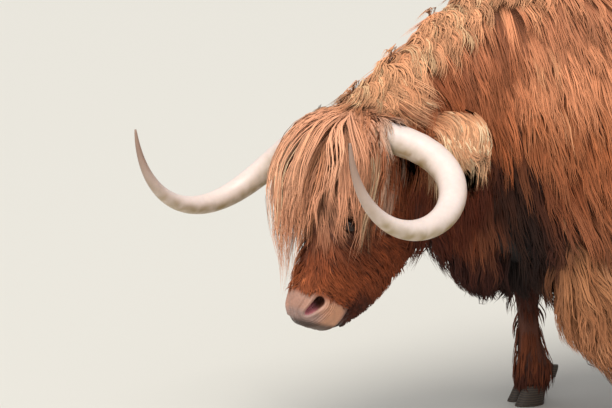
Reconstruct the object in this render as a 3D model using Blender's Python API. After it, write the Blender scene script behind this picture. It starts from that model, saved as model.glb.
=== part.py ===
"""A highland cow at life size, standing with its head lowered and turned to its left.

The animal faces -X, its left side is -Y and +Z is up. Every solid is the outer form of the coat.
Lengths are metres. The origin is at the centre of the whole object's box, on the ground.
"""

import math

import bmesh
import bpy
from mathutils import Matrix, Vector

# ---------------------------------------------------------------- driving dimensions
GAP = 0.0004  # clearance between neighbouring solids
BODY_SIDES = 18
LEG_SIDES = 12
HORN_SIDES = 12
HORN_RINGS = 18

WITHERS_HEIGHT = 1.315
BACK_HEIGHT = 1.235
BELLY_HEIGHT = 0.395
BARREL_HALF_WIDTH = 0.345

POLL = Vector((-0.600, -0.155, 0.890))  # midway between the horn bases
HEAD_TURN = math.radians(32)  # to the animal's left
NOSE_DOWN = math.radians(65.6)
HEAD_ROLL = math.radians(7.6)

HORN_BASE_RADIUS = 0.040
HORN_TIP_RADIUS = 0.003
# The left horn's route from the poll, as (out to the left, along the nose, up from the forehead).
HORN_ROOT = Vector((0.070, -0.002, -0.020))
HORN_OUT = Vector((0.440, -0.027, -0.176))
HORN_FORWARD = Vector((0.428, 0.288, -0.119))
HORN_RISE = Vector((0.395, 0.384, 0.199))
HORN_TIP = Vector((0.398, 0.128, 0.329))

EYE_RADIUS = 0.019
EYE_PLACE = Vector((0.080, 0.235, -0.048))
NOSTRIL_PLACE = Vector((0.050, 0.447, -0.034))

HOOF_HEIGHT = 0.062
CLAW_LENGTH = 0.096
CLAW_WIDTH = 0.046
CLAW_SPREAD = 0.026  # from the foot's middle to each claw's middle
DEWCLAW_RADIUS = 0.012


# ---------------------------------------------------------------- materials
def finish(name, colour, roughness):
    """A plain Principled finish."""
    made = bpy.data.materials.new(name)
    made.use_nodes = True
    shader = made.node_tree.nodes["Principled BSDF"]
    shader.inputs["Base Color"].default_value = (*colour, 1.0)
    shader.inputs["Roughness"].default_value = roughness
    shader.inputs["Metallic"].default_value = 0.0
    return made


# ---------------------------------------------------------------- general tools
def head_axes():
    """The head's own left, nose and forehead directions in the object's frame."""
    forward = Vector((-math.cos(HEAD_TURN), -math.sin(HEAD_TURN), 0.0))
    up = Vector((0.0, 0.0, 1.0))
    left = up.cross(forward)
    nose = forward * math.cos(NOSE_DOWN) - up * math.sin(NOSE_DOWN)
    brow = forward * math.sin(NOSE_DOWN) + up * math.cos(NOSE_DOWN)
    rolled_left = left * math.cos(HEAD_ROLL) + brow * math.sin(HEAD_ROLL)
    rolled_brow = brow * math.cos(HEAD_ROLL) - left * math.sin(HEAD_ROLL)
    return rolled_left, nose, rolled_brow


LEFT, NOSE, BROW = head_axes()


def on_head(place):
    """A point given as (left, along the nose, up from the forehead), in the object's frame."""
    return POLL + LEFT * place[0] + NOSE * place[1] + BROW * place[2]


def new_object(name, bm, material):
    """One named object from a finished bmesh, in triangles so that a cutter's copy has the same facets."""
    bmesh.ops.recalc_face_normals(bm, faces=bm.faces)
    bmesh.ops.triangulate(bm, faces=bm.faces)
    mesh = bpy.data.meshes.new(name)
    bm.to_mesh(mesh)
    bm.free()
    mesh.materials.append(material)
    mesh.shade_smooth()
    made = bpy.data.objects.new(name, mesh)
    bpy.context.collection.objects.link(made)
    return made


def ring(centre, side, up, half_width, half_height, sides, squareness=2.0, narrowing=0.0):
    """Points of a closed superellipse; narrowing is how much less wide its bottom is than its top."""
    points = []
    for index in range(sides):
        angle = 2 * math.pi * index / sides
        across, along = math.cos(angle), math.sin(angle)
        across = math.copysign(abs(across) ** (2 / squareness), across)
        along = math.copysign(abs(along) ** (2 / squareness), along)
        across *= 1 - narrowing * (1 - along) / 2
        points.append(centre + side * (half_width * across) + up * (half_height * along))
    return points


def loft(name, rings, material):
    """A closed skin through rings of equal count, by extruding one loop from ring to ring."""
    bm = bmesh.new()
    loop = bmesh.ops.create_circle(bm, segments=len(rings[0]), radius=1)["verts"]
    for vertex, place in zip(loop, rings[0]):
        vertex.co = place
    for places in rings[1:]:
        edges = [bm.edges.get((a, b)) for a, b in zip(loop, loop[1:] + loop[:1])]
        made = bmesh.ops.extrude_edge_only(bm, edges=edges)["geom"]
        fresh = {item for item in made if isinstance(item, bmesh.types.BMVert)}
        loop = [next(e.other_vert(v) for e in v.link_edges if e.other_vert(v) in fresh) for v in loop]
        for vertex, place in zip(loop, places):
            vertex.co = place
    bmesh.ops.holes_fill(bm, edges=bm.edges)
    return new_object(name, bm, material)


def between(stations, steps=2):
    """Catmull-Rom rows through the stations' numbers, so that a few stations give a smooth form."""
    rows = []
    last = len(stations) - 1
    for index in range(last):
        before, here = stations[max(index - 1, 0)], stations[index]
        there, after = stations[index + 1], stations[min(index + 2, last)]
        for step in range(steps):
            t = step / steps
            row = []
            for a, b, c, d in zip(before, here, there, after):
                slope = (c - a) * t
                bend = (2 * a - 5 * b + 4 * c - d) * t**2
                twist = (3 * b - a - 3 * c + d) * t**3
                row.append((2 * b + slope + bend + twist) / 2)
            rows.append(row)
    rows.append(list(stations[last]))
    return rows


def cutter_from(obj):
    """A hidden copy of a solid as first made, larger by the gap, to cut its neighbours with."""
    cutter = obj.copy()
    cutter.data = obj.data.copy()
    cutter.name = "cut_by_" + obj.name
    cutter.hide_render = True
    cutter.display_type = "WIRE"
    bpy.context.collection.objects.link(cutter)
    bm = bmesh.new()
    bm.from_mesh(cutter.data)
    bm.normal_update()
    moves = [(vertex, vertex.normal.copy()) for vertex in bm.verts]
    for vertex, outward in moves:
        vertex.co += outward * GAP
    bm.to_mesh(cutter.data)
    bm.free()
    return cutter


def boxes_meet(one, other):
    """Whether two objects' boxes touch."""
    for axis in range(3):
        mine = [corner[axis] for corner in one.bound_box]
        theirs = [corner[axis] for corner in other.bound_box]
        if max(mine) < min(theirs) or max(theirs) < min(mine):
            return False
    return True


def cut_away(obj, cutters):
    """Takes each cutter that reaches it out of obj."""
    for cutter in cutters:
        if not boxes_meet(obj, cutter):
            continue
        cut = obj.modifiers.new("clear_of_" + cutter.name, "BOOLEAN")
        cut.operation = "DIFFERENCE"
        cut.solver = "EXACT"
        cut.object = cutter
        graph = bpy.context.evaluated_depsgraph_get()
        evaluated = bpy.data.meshes.new_from_object(obj.evaluated_get(graph))
        obj.modifiers.clear()
        obj.data = evaluated


def keep_largest_body(obj):
    """Drops the crumbs that a cut can leave beyond its neighbour."""
    bm = bmesh.new()
    bm.from_mesh(obj.data)
    waiting = set(bm.verts)
    bodies = []
    while waiting:
        edge_of_body = [waiting.pop()]
        body = set(edge_of_body)
        while edge_of_body:
            vertex = edge_of_body.pop()
            near = {edge.other_vert(vertex) for edge in vertex.link_edges} & waiting
            waiting -= near
            body |= near
            edge_of_body.extend(near)
        bodies.append(body)
    bodies.sort(key=len)
    crumbs = [vertex for body in bodies[:-1] for vertex in body]
    bmesh.ops.delete(bm, geom=crumbs, context="VERTS")
    bm.to_mesh(obj.data)
    bm.free()


# ---------------------------------------------------------------- trunk, neck and tail
ACROSS = Vector((0, 1, 0))
UP = Vector((0, 0, 1))
LENGTHWISE = Vector((1, 0, 0))

# x, top, bottom, half width, squareness
TRUNK = (
    (-0.245, 0.860, 0.600, 0.070, 2.0),
    (-0.225, 0.950, 0.480, 0.130, 2.0),
    (-0.160, 1.080, 0.395, 0.180, 2.1),
    (-0.070, 1.240, 0.365, 0.225, 2.2),
    (0.050, WITHERS_HEIGHT, 0.365, 0.272, 2.3),
    (0.200, WITHERS_HEIGHT - 0.015, 0.385, 0.312, 2.4),
    (0.400, BACK_HEIGHT + 0.015, BELLY_HEIGHT, BARREL_HALF_WIDTH - 0.005, 2.4),
    (0.650, BACK_HEIGHT - 0.010, BELLY_HEIGHT, BARREL_HALF_WIDTH, 2.4),
    (0.850, BACK_HEIGHT, 0.430, 0.320, 2.4),
    (1.000, BACK_HEIGHT + 0.005, 0.500, 0.290, 2.4),
    (1.130, BACK_HEIGHT - 0.030, 0.590, 0.245, 2.3),
    (1.210, BACK_HEIGHT - 0.115, 0.690, 0.170, 2.1),
    (1.240, BACK_HEIGHT - 0.215, 0.790, 0.080, 2.0),
)
TOP_NARROWING = -0.18  # the barrel is wider at the flanks than along the back

# crest x, y, z; throat x, y, z; half width
NECK = (
    (0.100, 0.000, 1.290, 0.020, 0.000, 0.420, 0.235),
    (-0.040, 0.000, 1.305, -0.090, 0.000, 0.365, 0.232),
    (-0.165, -0.020, 1.268, -0.185, -0.005, 0.405, 0.212),
    (-0.300, -0.055, 1.192, -0.258, -0.030, 0.500, 0.192),
    (-0.420, -0.092, 1.108, -0.320, -0.060, 0.565, 0.174),
    (-0.515, -0.125, 1.040, -0.375, -0.085, 0.630, 0.158),
    (-0.575, -0.142, 0.982, -0.425, -0.105, 0.690, 0.138),
)

# x, z, radius
TAIL = (
    (1.170, 1.125, 0.040),
    (1.225, 1.095, 0.047),
    (1.268, 1.000, 0.044),
    (1.280, 0.860, 0.038),
    (1.280, 0.740, 0.036),
)
TAIL_SWITCH = (
    (1.280, 0.770, 0.032),
    (1.283, 0.670, 0.050),
    (1.285, 0.550, 0.064),
    (1.287, 0.430, 0.057),
    (1.287, 0.330, 0.034),
    (1.287, 0.285, 0.012),
)


def make_trunk(coat):
    """Barrel, brisket and rump, as upright rings from the breast to the pin bones."""
    rings = []
    for x, top, bottom, half_width, squareness in between(TRUNK):
        centre = Vector((x, 0.0, (top + bottom) / 2))
        half_height = (top - bottom) / 2
        rings.append(
            ring(centre, ACROSS, UP, half_width, half_height, BODY_SIDES, squareness, TOP_NARROWING)
        )
    return loft("trunk", rings, coat)


def make_neck(coat):
    """The crest and dewlap, each ring spanning from the mane's top to the throat."""
    rows = between(NECK)
    middles = [(Vector(row[0:3]) + Vector(row[3:6])) / 2 for row in rows]
    rings = []
    for index, row in enumerate(rows):
        up = (Vector(row[0:3]) - Vector(row[3:6])) / 2
        along = middles[min(index + 1, len(rows) - 1)] - middles[max(index - 1, 0)]
        side = along.cross(up).normalized()
        rings.append(ring(middles[index], side, up.normalized(), row[6], up.length, BODY_SIDES, 2.1))
    return loft("neck", rings, coat)


def make_tail(name, stations, coat):
    """One length of the hanging tail."""
    rings = []
    for x, z, radius in between(stations):
        rings.append(ring(Vector((x, 0.0, z)), LENGTHWISE, ACROSS, radius, radius * 1.15, LEG_SIDES))
    return loft(name, rings, coat)


# ---------------------------------------------------------------- head
# along the nose, top, bottom, half width, squareness, narrowing towards the jaw
HEAD = (
    (-0.060, -0.030, -0.160, 0.060, 2.0, 0.00),
    (-0.040, 0.005, -0.240, 0.100, 2.1, 0.05),
    (0.020, 0.025, -0.310, 0.125, 2.3, 0.10),
    (0.100, 0.025, -0.370, 0.132, 2.4, 0.25),
    (0.180, 0.018, -0.400, 0.126, 2.4, 0.40),
    (0.250, 0.010, -0.385, 0.114, 2.4, 0.40),
    (0.310, 0.004, -0.342, 0.100, 2.4, 0.30),
    (0.370, 0.002, -0.288, 0.086, 2.4, 0.15),
    (0.420, 0.004, -0.240, 0.077, 2.4, 0.00),
    (0.455, 0.004, -0.198, 0.071, 2.5, 0.00),
    (0.482, 0.000, -0.165, 0.066, 2.5, 0.00),
    (0.502, -0.018, -0.135, 0.050, 2.3, 0.00),
    (0.510, -0.040, -0.110, 0.026, 2.0, 0.00),
)
FORELOCK = (
    (-0.064, 0.040, -0.050, 0.080, 2.0, 0.0),
    (-0.045, 0.068, -0.070, 0.118, 2.2, 0.0),
    (0.020, 0.100, -0.080, 0.148, 2.5, 0.0),
    (0.100, 0.115, -0.085, 0.160, 2.6, 0.0),
    (0.180, 0.112, -0.080, 0.154, 2.6, 0.0),
    (0.250, 0.096, -0.060, 0.134, 2.5, 0.0),
    (0.300, 0.070, -0.045, 0.112, 2.4, 0.0),
    (0.338, 0.046, -0.030, 0.085, 2.2, 0.0),
    (0.360, 0.028, -0.015, 0.045, 2.0, 0.0),
)
# out, along the nose, up from the forehead, half thickness, half height of the hanging hair
EAR = (
    (0.085, -0.025, -0.120, 0.020, 0.028),
    (0.140, -0.050, -0.135, 0.026, 0.045),
    (0.200, -0.065, -0.150, 0.030, 0.062),
    (0.260, -0.066, -0.165, 0.030, 0.078),
    (0.310, -0.052, -0.180, 0.028, 0.078),
    (0.345, -0.034, -0.188, 0.018, 0.050),
    (0.358, -0.022, -0.190, 0.006, 0.020),
)


def make_head_part(name, stations, coat):
    """The skull and muzzle, or the forelock over them, as rings across the head's own length."""
    rings = []
    for along, top, bottom, half_width, squareness, narrowing in between(stations):
        centre = on_head((0.0, along, (top + bottom) / 2))
        half_height = (top - bottom) / 2
        rings.append(ring(centre, LEFT, BROW, half_width, half_height, BODY_SIDES, squareness, narrowing))
    return loft(name, rings, coat)


def make_nostril_cutter(side, coat):
    """A slanting oval pit in the front of the muzzle."""
    bm = bmesh.new()
    bmesh.ops.create_icosphere(bm, subdivisions=2, radius=1.0)
    bmesh.ops.scale(bm, vec=(0.015, 0.020, 0.022), verts=bm.verts)
    slant = Matrix.Rotation(math.radians(-35 * side), 3, "Y")
    middle = Vector((NOSTRIL_PLACE.x * side, NOSTRIL_PLACE.y, NOSTRIL_PLACE.z))
    for vertex in bm.verts:
        vertex.co = on_head(middle + slant @ vertex.co)
    cutter = new_object(f"nostril_cut_{side}", bm, coat)
    cutter.hide_render = True
    cutter.display_type = "WIRE"
    return cutter


def side_name(part, side):
    """A paired part's name; side is 1 on the left and -1 on the right."""
    return part + ("_left" if side > 0 else "_right")


def make_ear(side, coat):
    """One ear with the long hair that hangs from it."""
    rings = []
    for out, along, up, half_thickness, half_height in between(EAR):
        centre = on_head((out * side, along, up))
        rings.append(ring(centre, BROW, NOSE, half_thickness, half_height, LEG_SIDES))
    return loft(side_name("ear", side), rings, coat)


def horn_point(t, side):
    """A point of the horn's quartic Bezier route, t from 0 at the root to 1 at the tip."""
    place = Vector()
    for index, corner in enumerate((HORN_ROOT, HORN_OUT, HORN_FORWARD, HORN_RISE, HORN_TIP)):
        place += corner * (math.comb(4, index) * (1 - t) ** (4 - index) * t**index)
    return on_head((place.x * side, place.y, place.z))


def make_horn(side, keratin):
    """A long tapering horn, swept by carrying one cross direction along its route."""
    rings = []
    across = BROW
    for index in range(HORN_RINGS + 1):
        t = index / HORN_RINGS
        here = horn_point(t, side)
        ahead = (horn_point(t + 0.01, side) - horn_point(t - 0.01, side)).normalized()
        across = (across - ahead * across.dot(ahead)).normalized()
        radius = HORN_TIP_RADIUS + (HORN_BASE_RADIUS - HORN_TIP_RADIUS) * (1 - t**1.65) ** 0.8
        rings.append(ring(here, across, ahead.cross(across), radius, radius, HORN_SIDES))
    return loft(side_name("horn", side), rings, keratin)


def make_eye(side, wet_eye):
    """An eyeball, set in the head."""
    bm = bmesh.new()
    place = Matrix.Translation(on_head((EYE_PLACE.x * side, EYE_PLACE.y, EYE_PLACE.z)))
    bmesh.ops.create_uvsphere(bm, u_segments=12, v_segments=8, radius=EYE_RADIUS, matrix=place)
    return new_object(side_name("eye", side), bm, wet_eye)


# ---------------------------------------------------------------- legs and feet
# x, y, z, half length, half width, from inside the trunk down over the hoof. The right foreleg stands
# upright and the left one trails; the left hind leg is the forward one.
LEGS = {
    "foreleg_right": (
        (0.130, 0.115, 0.780, 0.120, 0.080),
        (0.125, 0.170, 0.640, 0.125, 0.100),
        (0.112, 0.185, 0.500, 0.115, 0.090),
        (0.105, 0.180, 0.380, 0.095, 0.074),
        (0.108, 0.175, 0.280, 0.072, 0.060),
        (0.118, 0.175, 0.190, 0.053, 0.050),
        (0.128, 0.175, 0.110, 0.058, 0.056),
        (0.128, 0.175, 0.070, 0.064, 0.060),
        (0.125, 0.175, 0.042, 0.050, 0.048),
    ),
    "foreleg_left": (
        (0.100, -0.130, 0.800, 0.130, 0.090),
        (0.100, -0.200, 0.680, 0.165, 0.115),
        (0.100, -0.235, 0.550, 0.165, 0.125),
        (0.115, -0.245, 0.430, 0.170, 0.120),
        (0.150, -0.240, 0.345, 0.152, 0.100),
        (0.205, -0.235, 0.275, 0.105, 0.080),
        (0.260, -0.230, 0.200, 0.066, 0.062),
        (0.300, -0.228, 0.130, 0.060, 0.058),
        (0.312, -0.228, 0.075, 0.066, 0.062),
        (0.305, -0.228, 0.042, 0.050, 0.048),
    ),
    "hindleg_left": (
        (1.000, -0.125, 0.920, 0.150, 0.080),
        (1.000, -0.185, 0.790, 0.180, 0.105),
        (0.975, -0.210, 0.650, 0.165, 0.110),
        (0.965, -0.205, 0.520, 0.115, 0.085),
        (1.000, -0.200, 0.420, 0.082, 0.064),
        (1.025, -0.195, 0.345, 0.072, 0.056),
        (0.998, -0.190, 0.230, 0.056, 0.050),
        (0.972, -0.190, 0.120, 0.058, 0.056),
        (0.962, -0.190, 0.075, 0.064, 0.060),
        (0.955, -0.190, 0.042, 0.050, 0.048),
    ),
    "hindleg_right": (
        (1.040, 0.125, 0.920, 0.150, 0.080),
        (1.050, 0.185, 0.790, 0.175, 0.105),
        (1.050, 0.210, 0.650, 0.155, 0.110),
        (1.075, 0.205, 0.520, 0.110, 0.085),
        (1.135, 0.200, 0.420, 0.080, 0.064),
        (1.165, 0.195, 0.345, 0.072, 0.056),
        (1.148, 0.190, 0.230, 0.056, 0.050),
        (1.138, 0.190, 0.120, 0.058, 0.056),
        (1.128, 0.190, 0.075, 0.064, 0.060),
        (1.120, 0.190, 0.042, 0.050, 0.048),
    ),
}


def make_leg(name, stations, coat):
    """A leg with its long hair."""
    rings = []
    for x, y, z, half_length, half_width in between(stations):
        rings.append(ring(Vector((x, y, z)), LENGTHWISE, ACROSS, half_length, half_width, LEG_SIDES, 2.2))
    return loft(name, rings, coat)


def make_claw(name, foot, side, hoof):
    """One claw of a cloven hoof: a slanted half-round block with a flat sole on the ground."""
    bm = bmesh.new()
    standing = Matrix.Translation((0, 0, HOOF_HEIGHT / 2))
    bmesh.ops.create_cone(
        bm, cap_ends=True, segments=12, radius1=1.0, radius2=0.74, depth=HOOF_HEIGHT, matrix=standing
    )
    bmesh.ops.scale(bm, vec=(CLAW_LENGTH / 2, CLAW_WIDTH / 2, 1), verts=bm.verts)
    for vertex in bm.verts:
        vertex.co.x += 0.42 * vertex.co.z  # the wall slopes back from the toe
    bmesh.ops.translate(bm, vec=(foot[0] - 0.014, foot[1] + side * CLAW_SPREAD, 0), verts=bm.verts)
    return new_object(name, bm, hoof)


def make_dewclaw(name, foot, side, hoof):
    """A small blunt cone behind the fetlock."""
    bm = bmesh.new()
    place = Matrix.Translation((foot[0] + 0.070, foot[1] + side * 0.024, 0.096))
    place @= Matrix.Rotation(math.radians(150), 4, "Y")
    bmesh.ops.create_cone(
        bm, cap_ends=True, segments=8, radius1=DEWCLAW_RADIUS, radius2=0.006, depth=0.032, matrix=place
    )
    return new_object(name, bm, hoof)


def make_foot(where, foot, hoof):
    """The two claws and two dewclaws of one foot."""
    towards_middle = 1 if foot[1] < 0 else -1
    pieces = []
    for label, side in (("inner", towards_middle), ("outer", -towards_middle)):
        pieces.append(make_claw(f"claw_{where}_{label}", foot, side, hoof))
        pieces.append(make_dewclaw(f"dewclaw_{where}_{label}", foot, side, hoof))
    return pieces


# ---------------------------------------------------------------- assembly
def stand_over_origin(pieces):
    """Moves the animal along the ground until the middle of its box is over the origin."""
    corners = [vertex.co for piece in pieces for vertex in piece.data.vertices]
    middle_x = (min(co.x for co in corners) + max(co.x for co in corners)) / 2
    middle_y = (min(co.y for co in corners) + max(co.y for co in corners)) / 2
    for piece in pieces:
        piece.data.transform(Matrix.Translation((-middle_x, -middle_y, 0.0)))


def build():
    """Clears the scene and makes every solid."""
    for obj in list(bpy.data.objects):
        bpy.data.objects.remove(obj)
    coat = finish("long_coat", (0.42, 0.16, 0.06), 0.65)
    keratin = finish("horn_keratin", (0.86, 0.78, 0.66), 0.35)
    hoof = finish("hoof_keratin", (0.10, 0.08, 0.065), 0.5)
    wet_eye = finish("eye", (0.03, 0.018, 0.012), 0.08)

    hard = [make_horn(side, keratin) for side in (1, -1)]
    hard += [make_eye(side, wet_eye) for side in (1, -1)]
    for name, stations in LEGS.items():
        hard += make_foot(name, stations[-1][:2], hoof)
    soft = [make_trunk(coat), make_neck(coat), make_head_part("head", HEAD, coat)]
    soft += [make_head_part("forelock", FORELOCK, coat)]
    soft += [make_ear(side, coat) for side in (1, -1)]
    soft += [make_tail("tail", TAIL, coat), make_tail("tail_switch", TAIL_SWITCH, coat)]
    soft += [make_leg(name, stations, coat) for name, stations in LEGS.items()]

    # Each soft solid is cut by the hard ones, and by the soft ones before it in the list.
    cutters = [cutter_from(obj) for obj in hard]
    for obj in soft:
        own_cutter = cutter_from(obj)
        cut_away(obj, cutters)
        keep_largest_body(obj)
        cutters.append(own_cutter)
    cut_away(bpy.data.objects["head"], [make_nostril_cutter(side, coat) for side in (1, -1)])
    stand_over_origin(hard + soft)


build()
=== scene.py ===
# %% [markdown]
# # A highland cow for a museum plinth
#
# The animal stands still with its head lowered and turned to its left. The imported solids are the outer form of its
# coat. This script makes what a visitor sees: one skin lying inside those solids, the coat growing from it lock by
# lock, the bare muzzle, the eyes, the long horns and the hooves.

# %% Load the frame
import math

import bmesh
import bpy
import numpy as np
from mathutils import Matrix, Vector
from mathutils.bvhtree import BVHTree


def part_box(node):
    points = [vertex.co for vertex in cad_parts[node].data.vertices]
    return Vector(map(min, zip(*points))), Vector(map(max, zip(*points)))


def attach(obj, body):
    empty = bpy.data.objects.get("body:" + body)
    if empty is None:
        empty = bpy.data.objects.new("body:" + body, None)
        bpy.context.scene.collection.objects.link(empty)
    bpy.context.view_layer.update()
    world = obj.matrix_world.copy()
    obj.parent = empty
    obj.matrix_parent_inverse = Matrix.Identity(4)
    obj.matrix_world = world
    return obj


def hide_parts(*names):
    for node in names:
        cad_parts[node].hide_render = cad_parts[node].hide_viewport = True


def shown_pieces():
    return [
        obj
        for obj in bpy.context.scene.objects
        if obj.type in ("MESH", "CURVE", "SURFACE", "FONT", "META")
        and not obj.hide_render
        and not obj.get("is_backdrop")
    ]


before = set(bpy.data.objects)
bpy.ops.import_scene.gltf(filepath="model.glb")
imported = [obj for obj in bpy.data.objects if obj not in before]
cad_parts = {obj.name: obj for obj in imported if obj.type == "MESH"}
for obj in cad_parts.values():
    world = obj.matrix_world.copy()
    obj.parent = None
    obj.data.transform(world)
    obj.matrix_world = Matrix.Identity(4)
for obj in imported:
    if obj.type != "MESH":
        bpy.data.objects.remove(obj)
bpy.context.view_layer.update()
random = np.random.default_rng(7)  # one fixed stream, so every run grows the same coat

# %% [markdown]
# ## Where the head is
#
# The head's own axes make every later size easy to say: out to the left, along the nose, and up from the forehead.
# They come from the three turns of the pose, and the middle of the two eyes gives the poll, the point between the
# horns from which the head is measured.

# %% The head's axes and the poll
HEAD_TURN = math.radians(32)
NOSE_DOWN = math.radians(65.6)
HEAD_ROLL = math.radians(7.6)
EYE_PLACE = Vector((0.080, 0.235, -0.048))  # the left eye's centre from the poll, in head axes


def node_centre(node):
    """The middle of a CAD node's box."""
    low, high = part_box(node)
    return (Vector(low) + Vector(high)) / 2


def head_axes():
    """The head's left, nose and forehead directions."""
    forward = Vector((-math.cos(HEAD_TURN), -math.sin(HEAD_TURN), 0.0))
    up = Vector((0.0, 0.0, 1.0))
    left = up.cross(forward)
    nose = forward * math.cos(NOSE_DOWN) - up * math.sin(NOSE_DOWN)
    brow = forward * math.sin(NOSE_DOWN) + up * math.cos(NOSE_DOWN)
    rolled_left = left * math.cos(HEAD_ROLL) + brow * math.sin(HEAD_ROLL)
    rolled_brow = brow * math.cos(HEAD_ROLL) - left * math.sin(HEAD_ROLL)
    return rolled_left, nose, rolled_brow


LEFT, NOSE, BROW = head_axes()
POLL = (node_centre("eye_left") + node_centre("eye_right")) / 2 - NOSE * EYE_PLACE.y - BROW * EYE_PLACE.z
HEAD_MATRIX = np.array([LEFT, NOSE, BROW])
SPINE_Y = (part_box("hindleg_left")[0][1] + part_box("hindleg_right")[1][1]) / 2
print("poll:", POLL, "spine at y =", round(SPINE_Y, 3))


def to_head(points):
    """Object points, one per row, in head axes from the poll."""
    return (np.atleast_2d(points) - np.array(POLL)) @ HEAD_MATRIX.T


def on_head(out, along, up):
    """The object point at a place given in head axes."""
    return POLL + LEFT * out + NOSE * along + BROW * up

# %% [markdown]
# ## Camera, floor and light
#
# The view is from the animal's front left, a little above its back, through a long lens from about four metres.
# A wide pale floor fills the frame behind it. Overcast light comes from everywhere and mostly from above: a sun lamp
# as wide as a bright patch of cloud, a pale world and one soft fill in front stand in for it.

# %% Camera
CAMERA_FROM_POLL = Vector((-1.3437, -3.8592, 0.5283))
CAMERA_TURNS = (math.radians(80), 0.0, math.radians(-18))  # ten degrees down, and a little to the animal's rear
LENS = 94.1  # millimetres, on a full-frame sensor


def link_object(name, data):
    """A new object that shows some data in the scene."""
    made = bpy.data.objects.new(name, data)
    bpy.context.collection.objects.link(made)
    return made


camera = link_object("camera", bpy.data.cameras.new("camera"))
camera.data.lens = LENS
camera.data.sensor_width = 36.0
camera.location = POLL + CAMERA_FROM_POLL
camera.rotation_euler = CAMERA_TURNS
bpy.context.scene.camera = camera
print("camera at", tuple(round(v, 3) for v in camera.location))

# %% Floor, world and lamps
bpy.context.scene.view_settings.view_transform = "Standard"


def srgb(code):
    """A linear colour from an sRGB hex code."""
    channels = [int(code[i : i + 2], 16) / 255 for i in (1, 3, 5)]
    return [c / 12.92 if c <= 0.04045 else ((c + 0.055) / 1.055) ** 2.4 for c in channels]


def add_node(tree, kind, settings=None, links=None):
    """Adds a shader node, sets its properties and socket values, and links its inputs."""
    node = tree.nodes.new(kind)
    for key, value in (settings or {}).items():
        if isinstance(key, str) and hasattr(node, key):
            setattr(node, key, value)
        else:
            node.inputs[key].default_value = value
    for key, source in (links or {}).items():
        tree.links.new(source, node.inputs[key])
    return node


def new_material(name):
    """A material with its node tree and its Principled shader."""
    made = bpy.data.materials.new(name)
    made.use_nodes = True
    tree = made.node_tree
    return made, tree, tree.nodes["Principled BSDF"]


def object_from(bm, name):
    """A linked object from a finished bmesh."""
    mesh = bpy.data.meshes.new(name)
    bm.to_mesh(mesh)
    bm.free()
    return link_object(name, mesh)


def add_lamp(name, kind, power, colour, direction):
    """A lamp shining in a direction."""
    lamp = link_object(name, bpy.data.lights.new(name, kind))
    lamp.data.energy = power
    lamp.data.color = srgb(colour)
    lamp.rotation_euler = direction.to_track_quat("-Z", "Y").to_euler()
    return lamp


FLOOR_REACH = 150.0  # metres from the middle to each edge, past all that the camera sees
floor_bm = bmesh.new()
bmesh.ops.create_grid(floor_bm, x_segments=1, y_segments=1, size=FLOOR_REACH)
floor = object_from(floor_bm, "floor")
plaster, tree, shader = new_material("pale_plaster_floor")  # plain and matt, so only the soft shadow is seen
shader.inputs["Base Color"].default_value = (*srgb("#D8D6CF"), 1.0)
shader.inputs["Roughness"].default_value = 0.9
floor.data.materials.append(plaster)
floor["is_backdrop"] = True

world = bpy.data.worlds.new("pale_room")
bpy.context.scene.world = world
world.use_nodes = True
backdrop = world.node_tree.nodes["Background"]
backdrop.inputs["Color"].default_value = (*srgb("#F4F6F8"), 1.0)
backdrop.inputs["Strength"].default_value = 0.62

FILL_PLACE, FILL_TARGET = Vector((-3.6, -4.2, 2.0)), Vector((-0.5, -0.1, 0.8))
skylight = add_lamp("skylight", "SUN", 2.3, "#FFFAF2", Vector((0.30, 0.45, -1.0)))
skylight.data.angle = math.radians(40)
fill = add_lamp("front_fill", "AREA", 45, "#FFFFFF", FILL_TARGET - FILL_PLACE)
fill.data.size = 2.4
fill.location = FILL_PLACE
print("floor, world and lamps:", floor.name, world.name, skylight.name, fill.name)

# %% [markdown]
# ## The skin
#
# Under the coat one hide wraps the whole animal, with no seam where the neck meets the trunk or a leg meets the
# belly. Joining copies of the solids and remeshing them as voxels gives such a single surface. A short cuff is added
# round each horn's root, where the skin rises a little onto the horn, and a pad in front of each dewclaw, which is
# what it grows from. The surface is then smoothed, and each point sinks inwards by the depth of the coat that will
# grow there. The muzzle and the eyes have short hair or none, so there the mesh is divided finer and the folds are
# modelled.

# %% Join the solids of flesh and remesh them
SKIN_NODES = (
    "trunk", "neck", "head", "ear_left", "ear_right", "tail",
    "foreleg_left", "foreleg_right", "hindleg_left", "hindleg_right",
)
LEGS = ("foreleg_left", "foreleg_right", "hindleg_left", "hindleg_right")
SKIN_VOXEL = 0.0145
HORN_ROOT = (0.070, -0.002, -0.020)  # where a horn's axis leaves the skull, in head axes
CUFF_RADIUS, CUFF_TAPER, CUFF_LENGTH = 0.056, 0.004, 0.120  # before the mesh is smoothed
CUFF_AHEAD = 0.006  # how far past the horn's root the cuff's middle lies
PAD_RADIUS = 0.021  # of the pad behind the fetlock that carries a dewclaw
PAD_TOP = Vector((0, 0, 0.008))


def horn_leaves(side):
    """The direction in which a horn leaves the skull."""
    return (LEFT * 0.92 * side - NOSE * 0.06 - BROW * 0.39).normalized()


def bm_of_nodes(names):
    """One bmesh holding copies of some CAD nodes, and the number of faces of each."""
    bm = bmesh.new()
    counts = []
    for name in names:
        before = len(bm.faces)
        bm.from_mesh(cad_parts[name].data)
        counts.append(len(bm.faces) - before)
    return bm, counts


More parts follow.
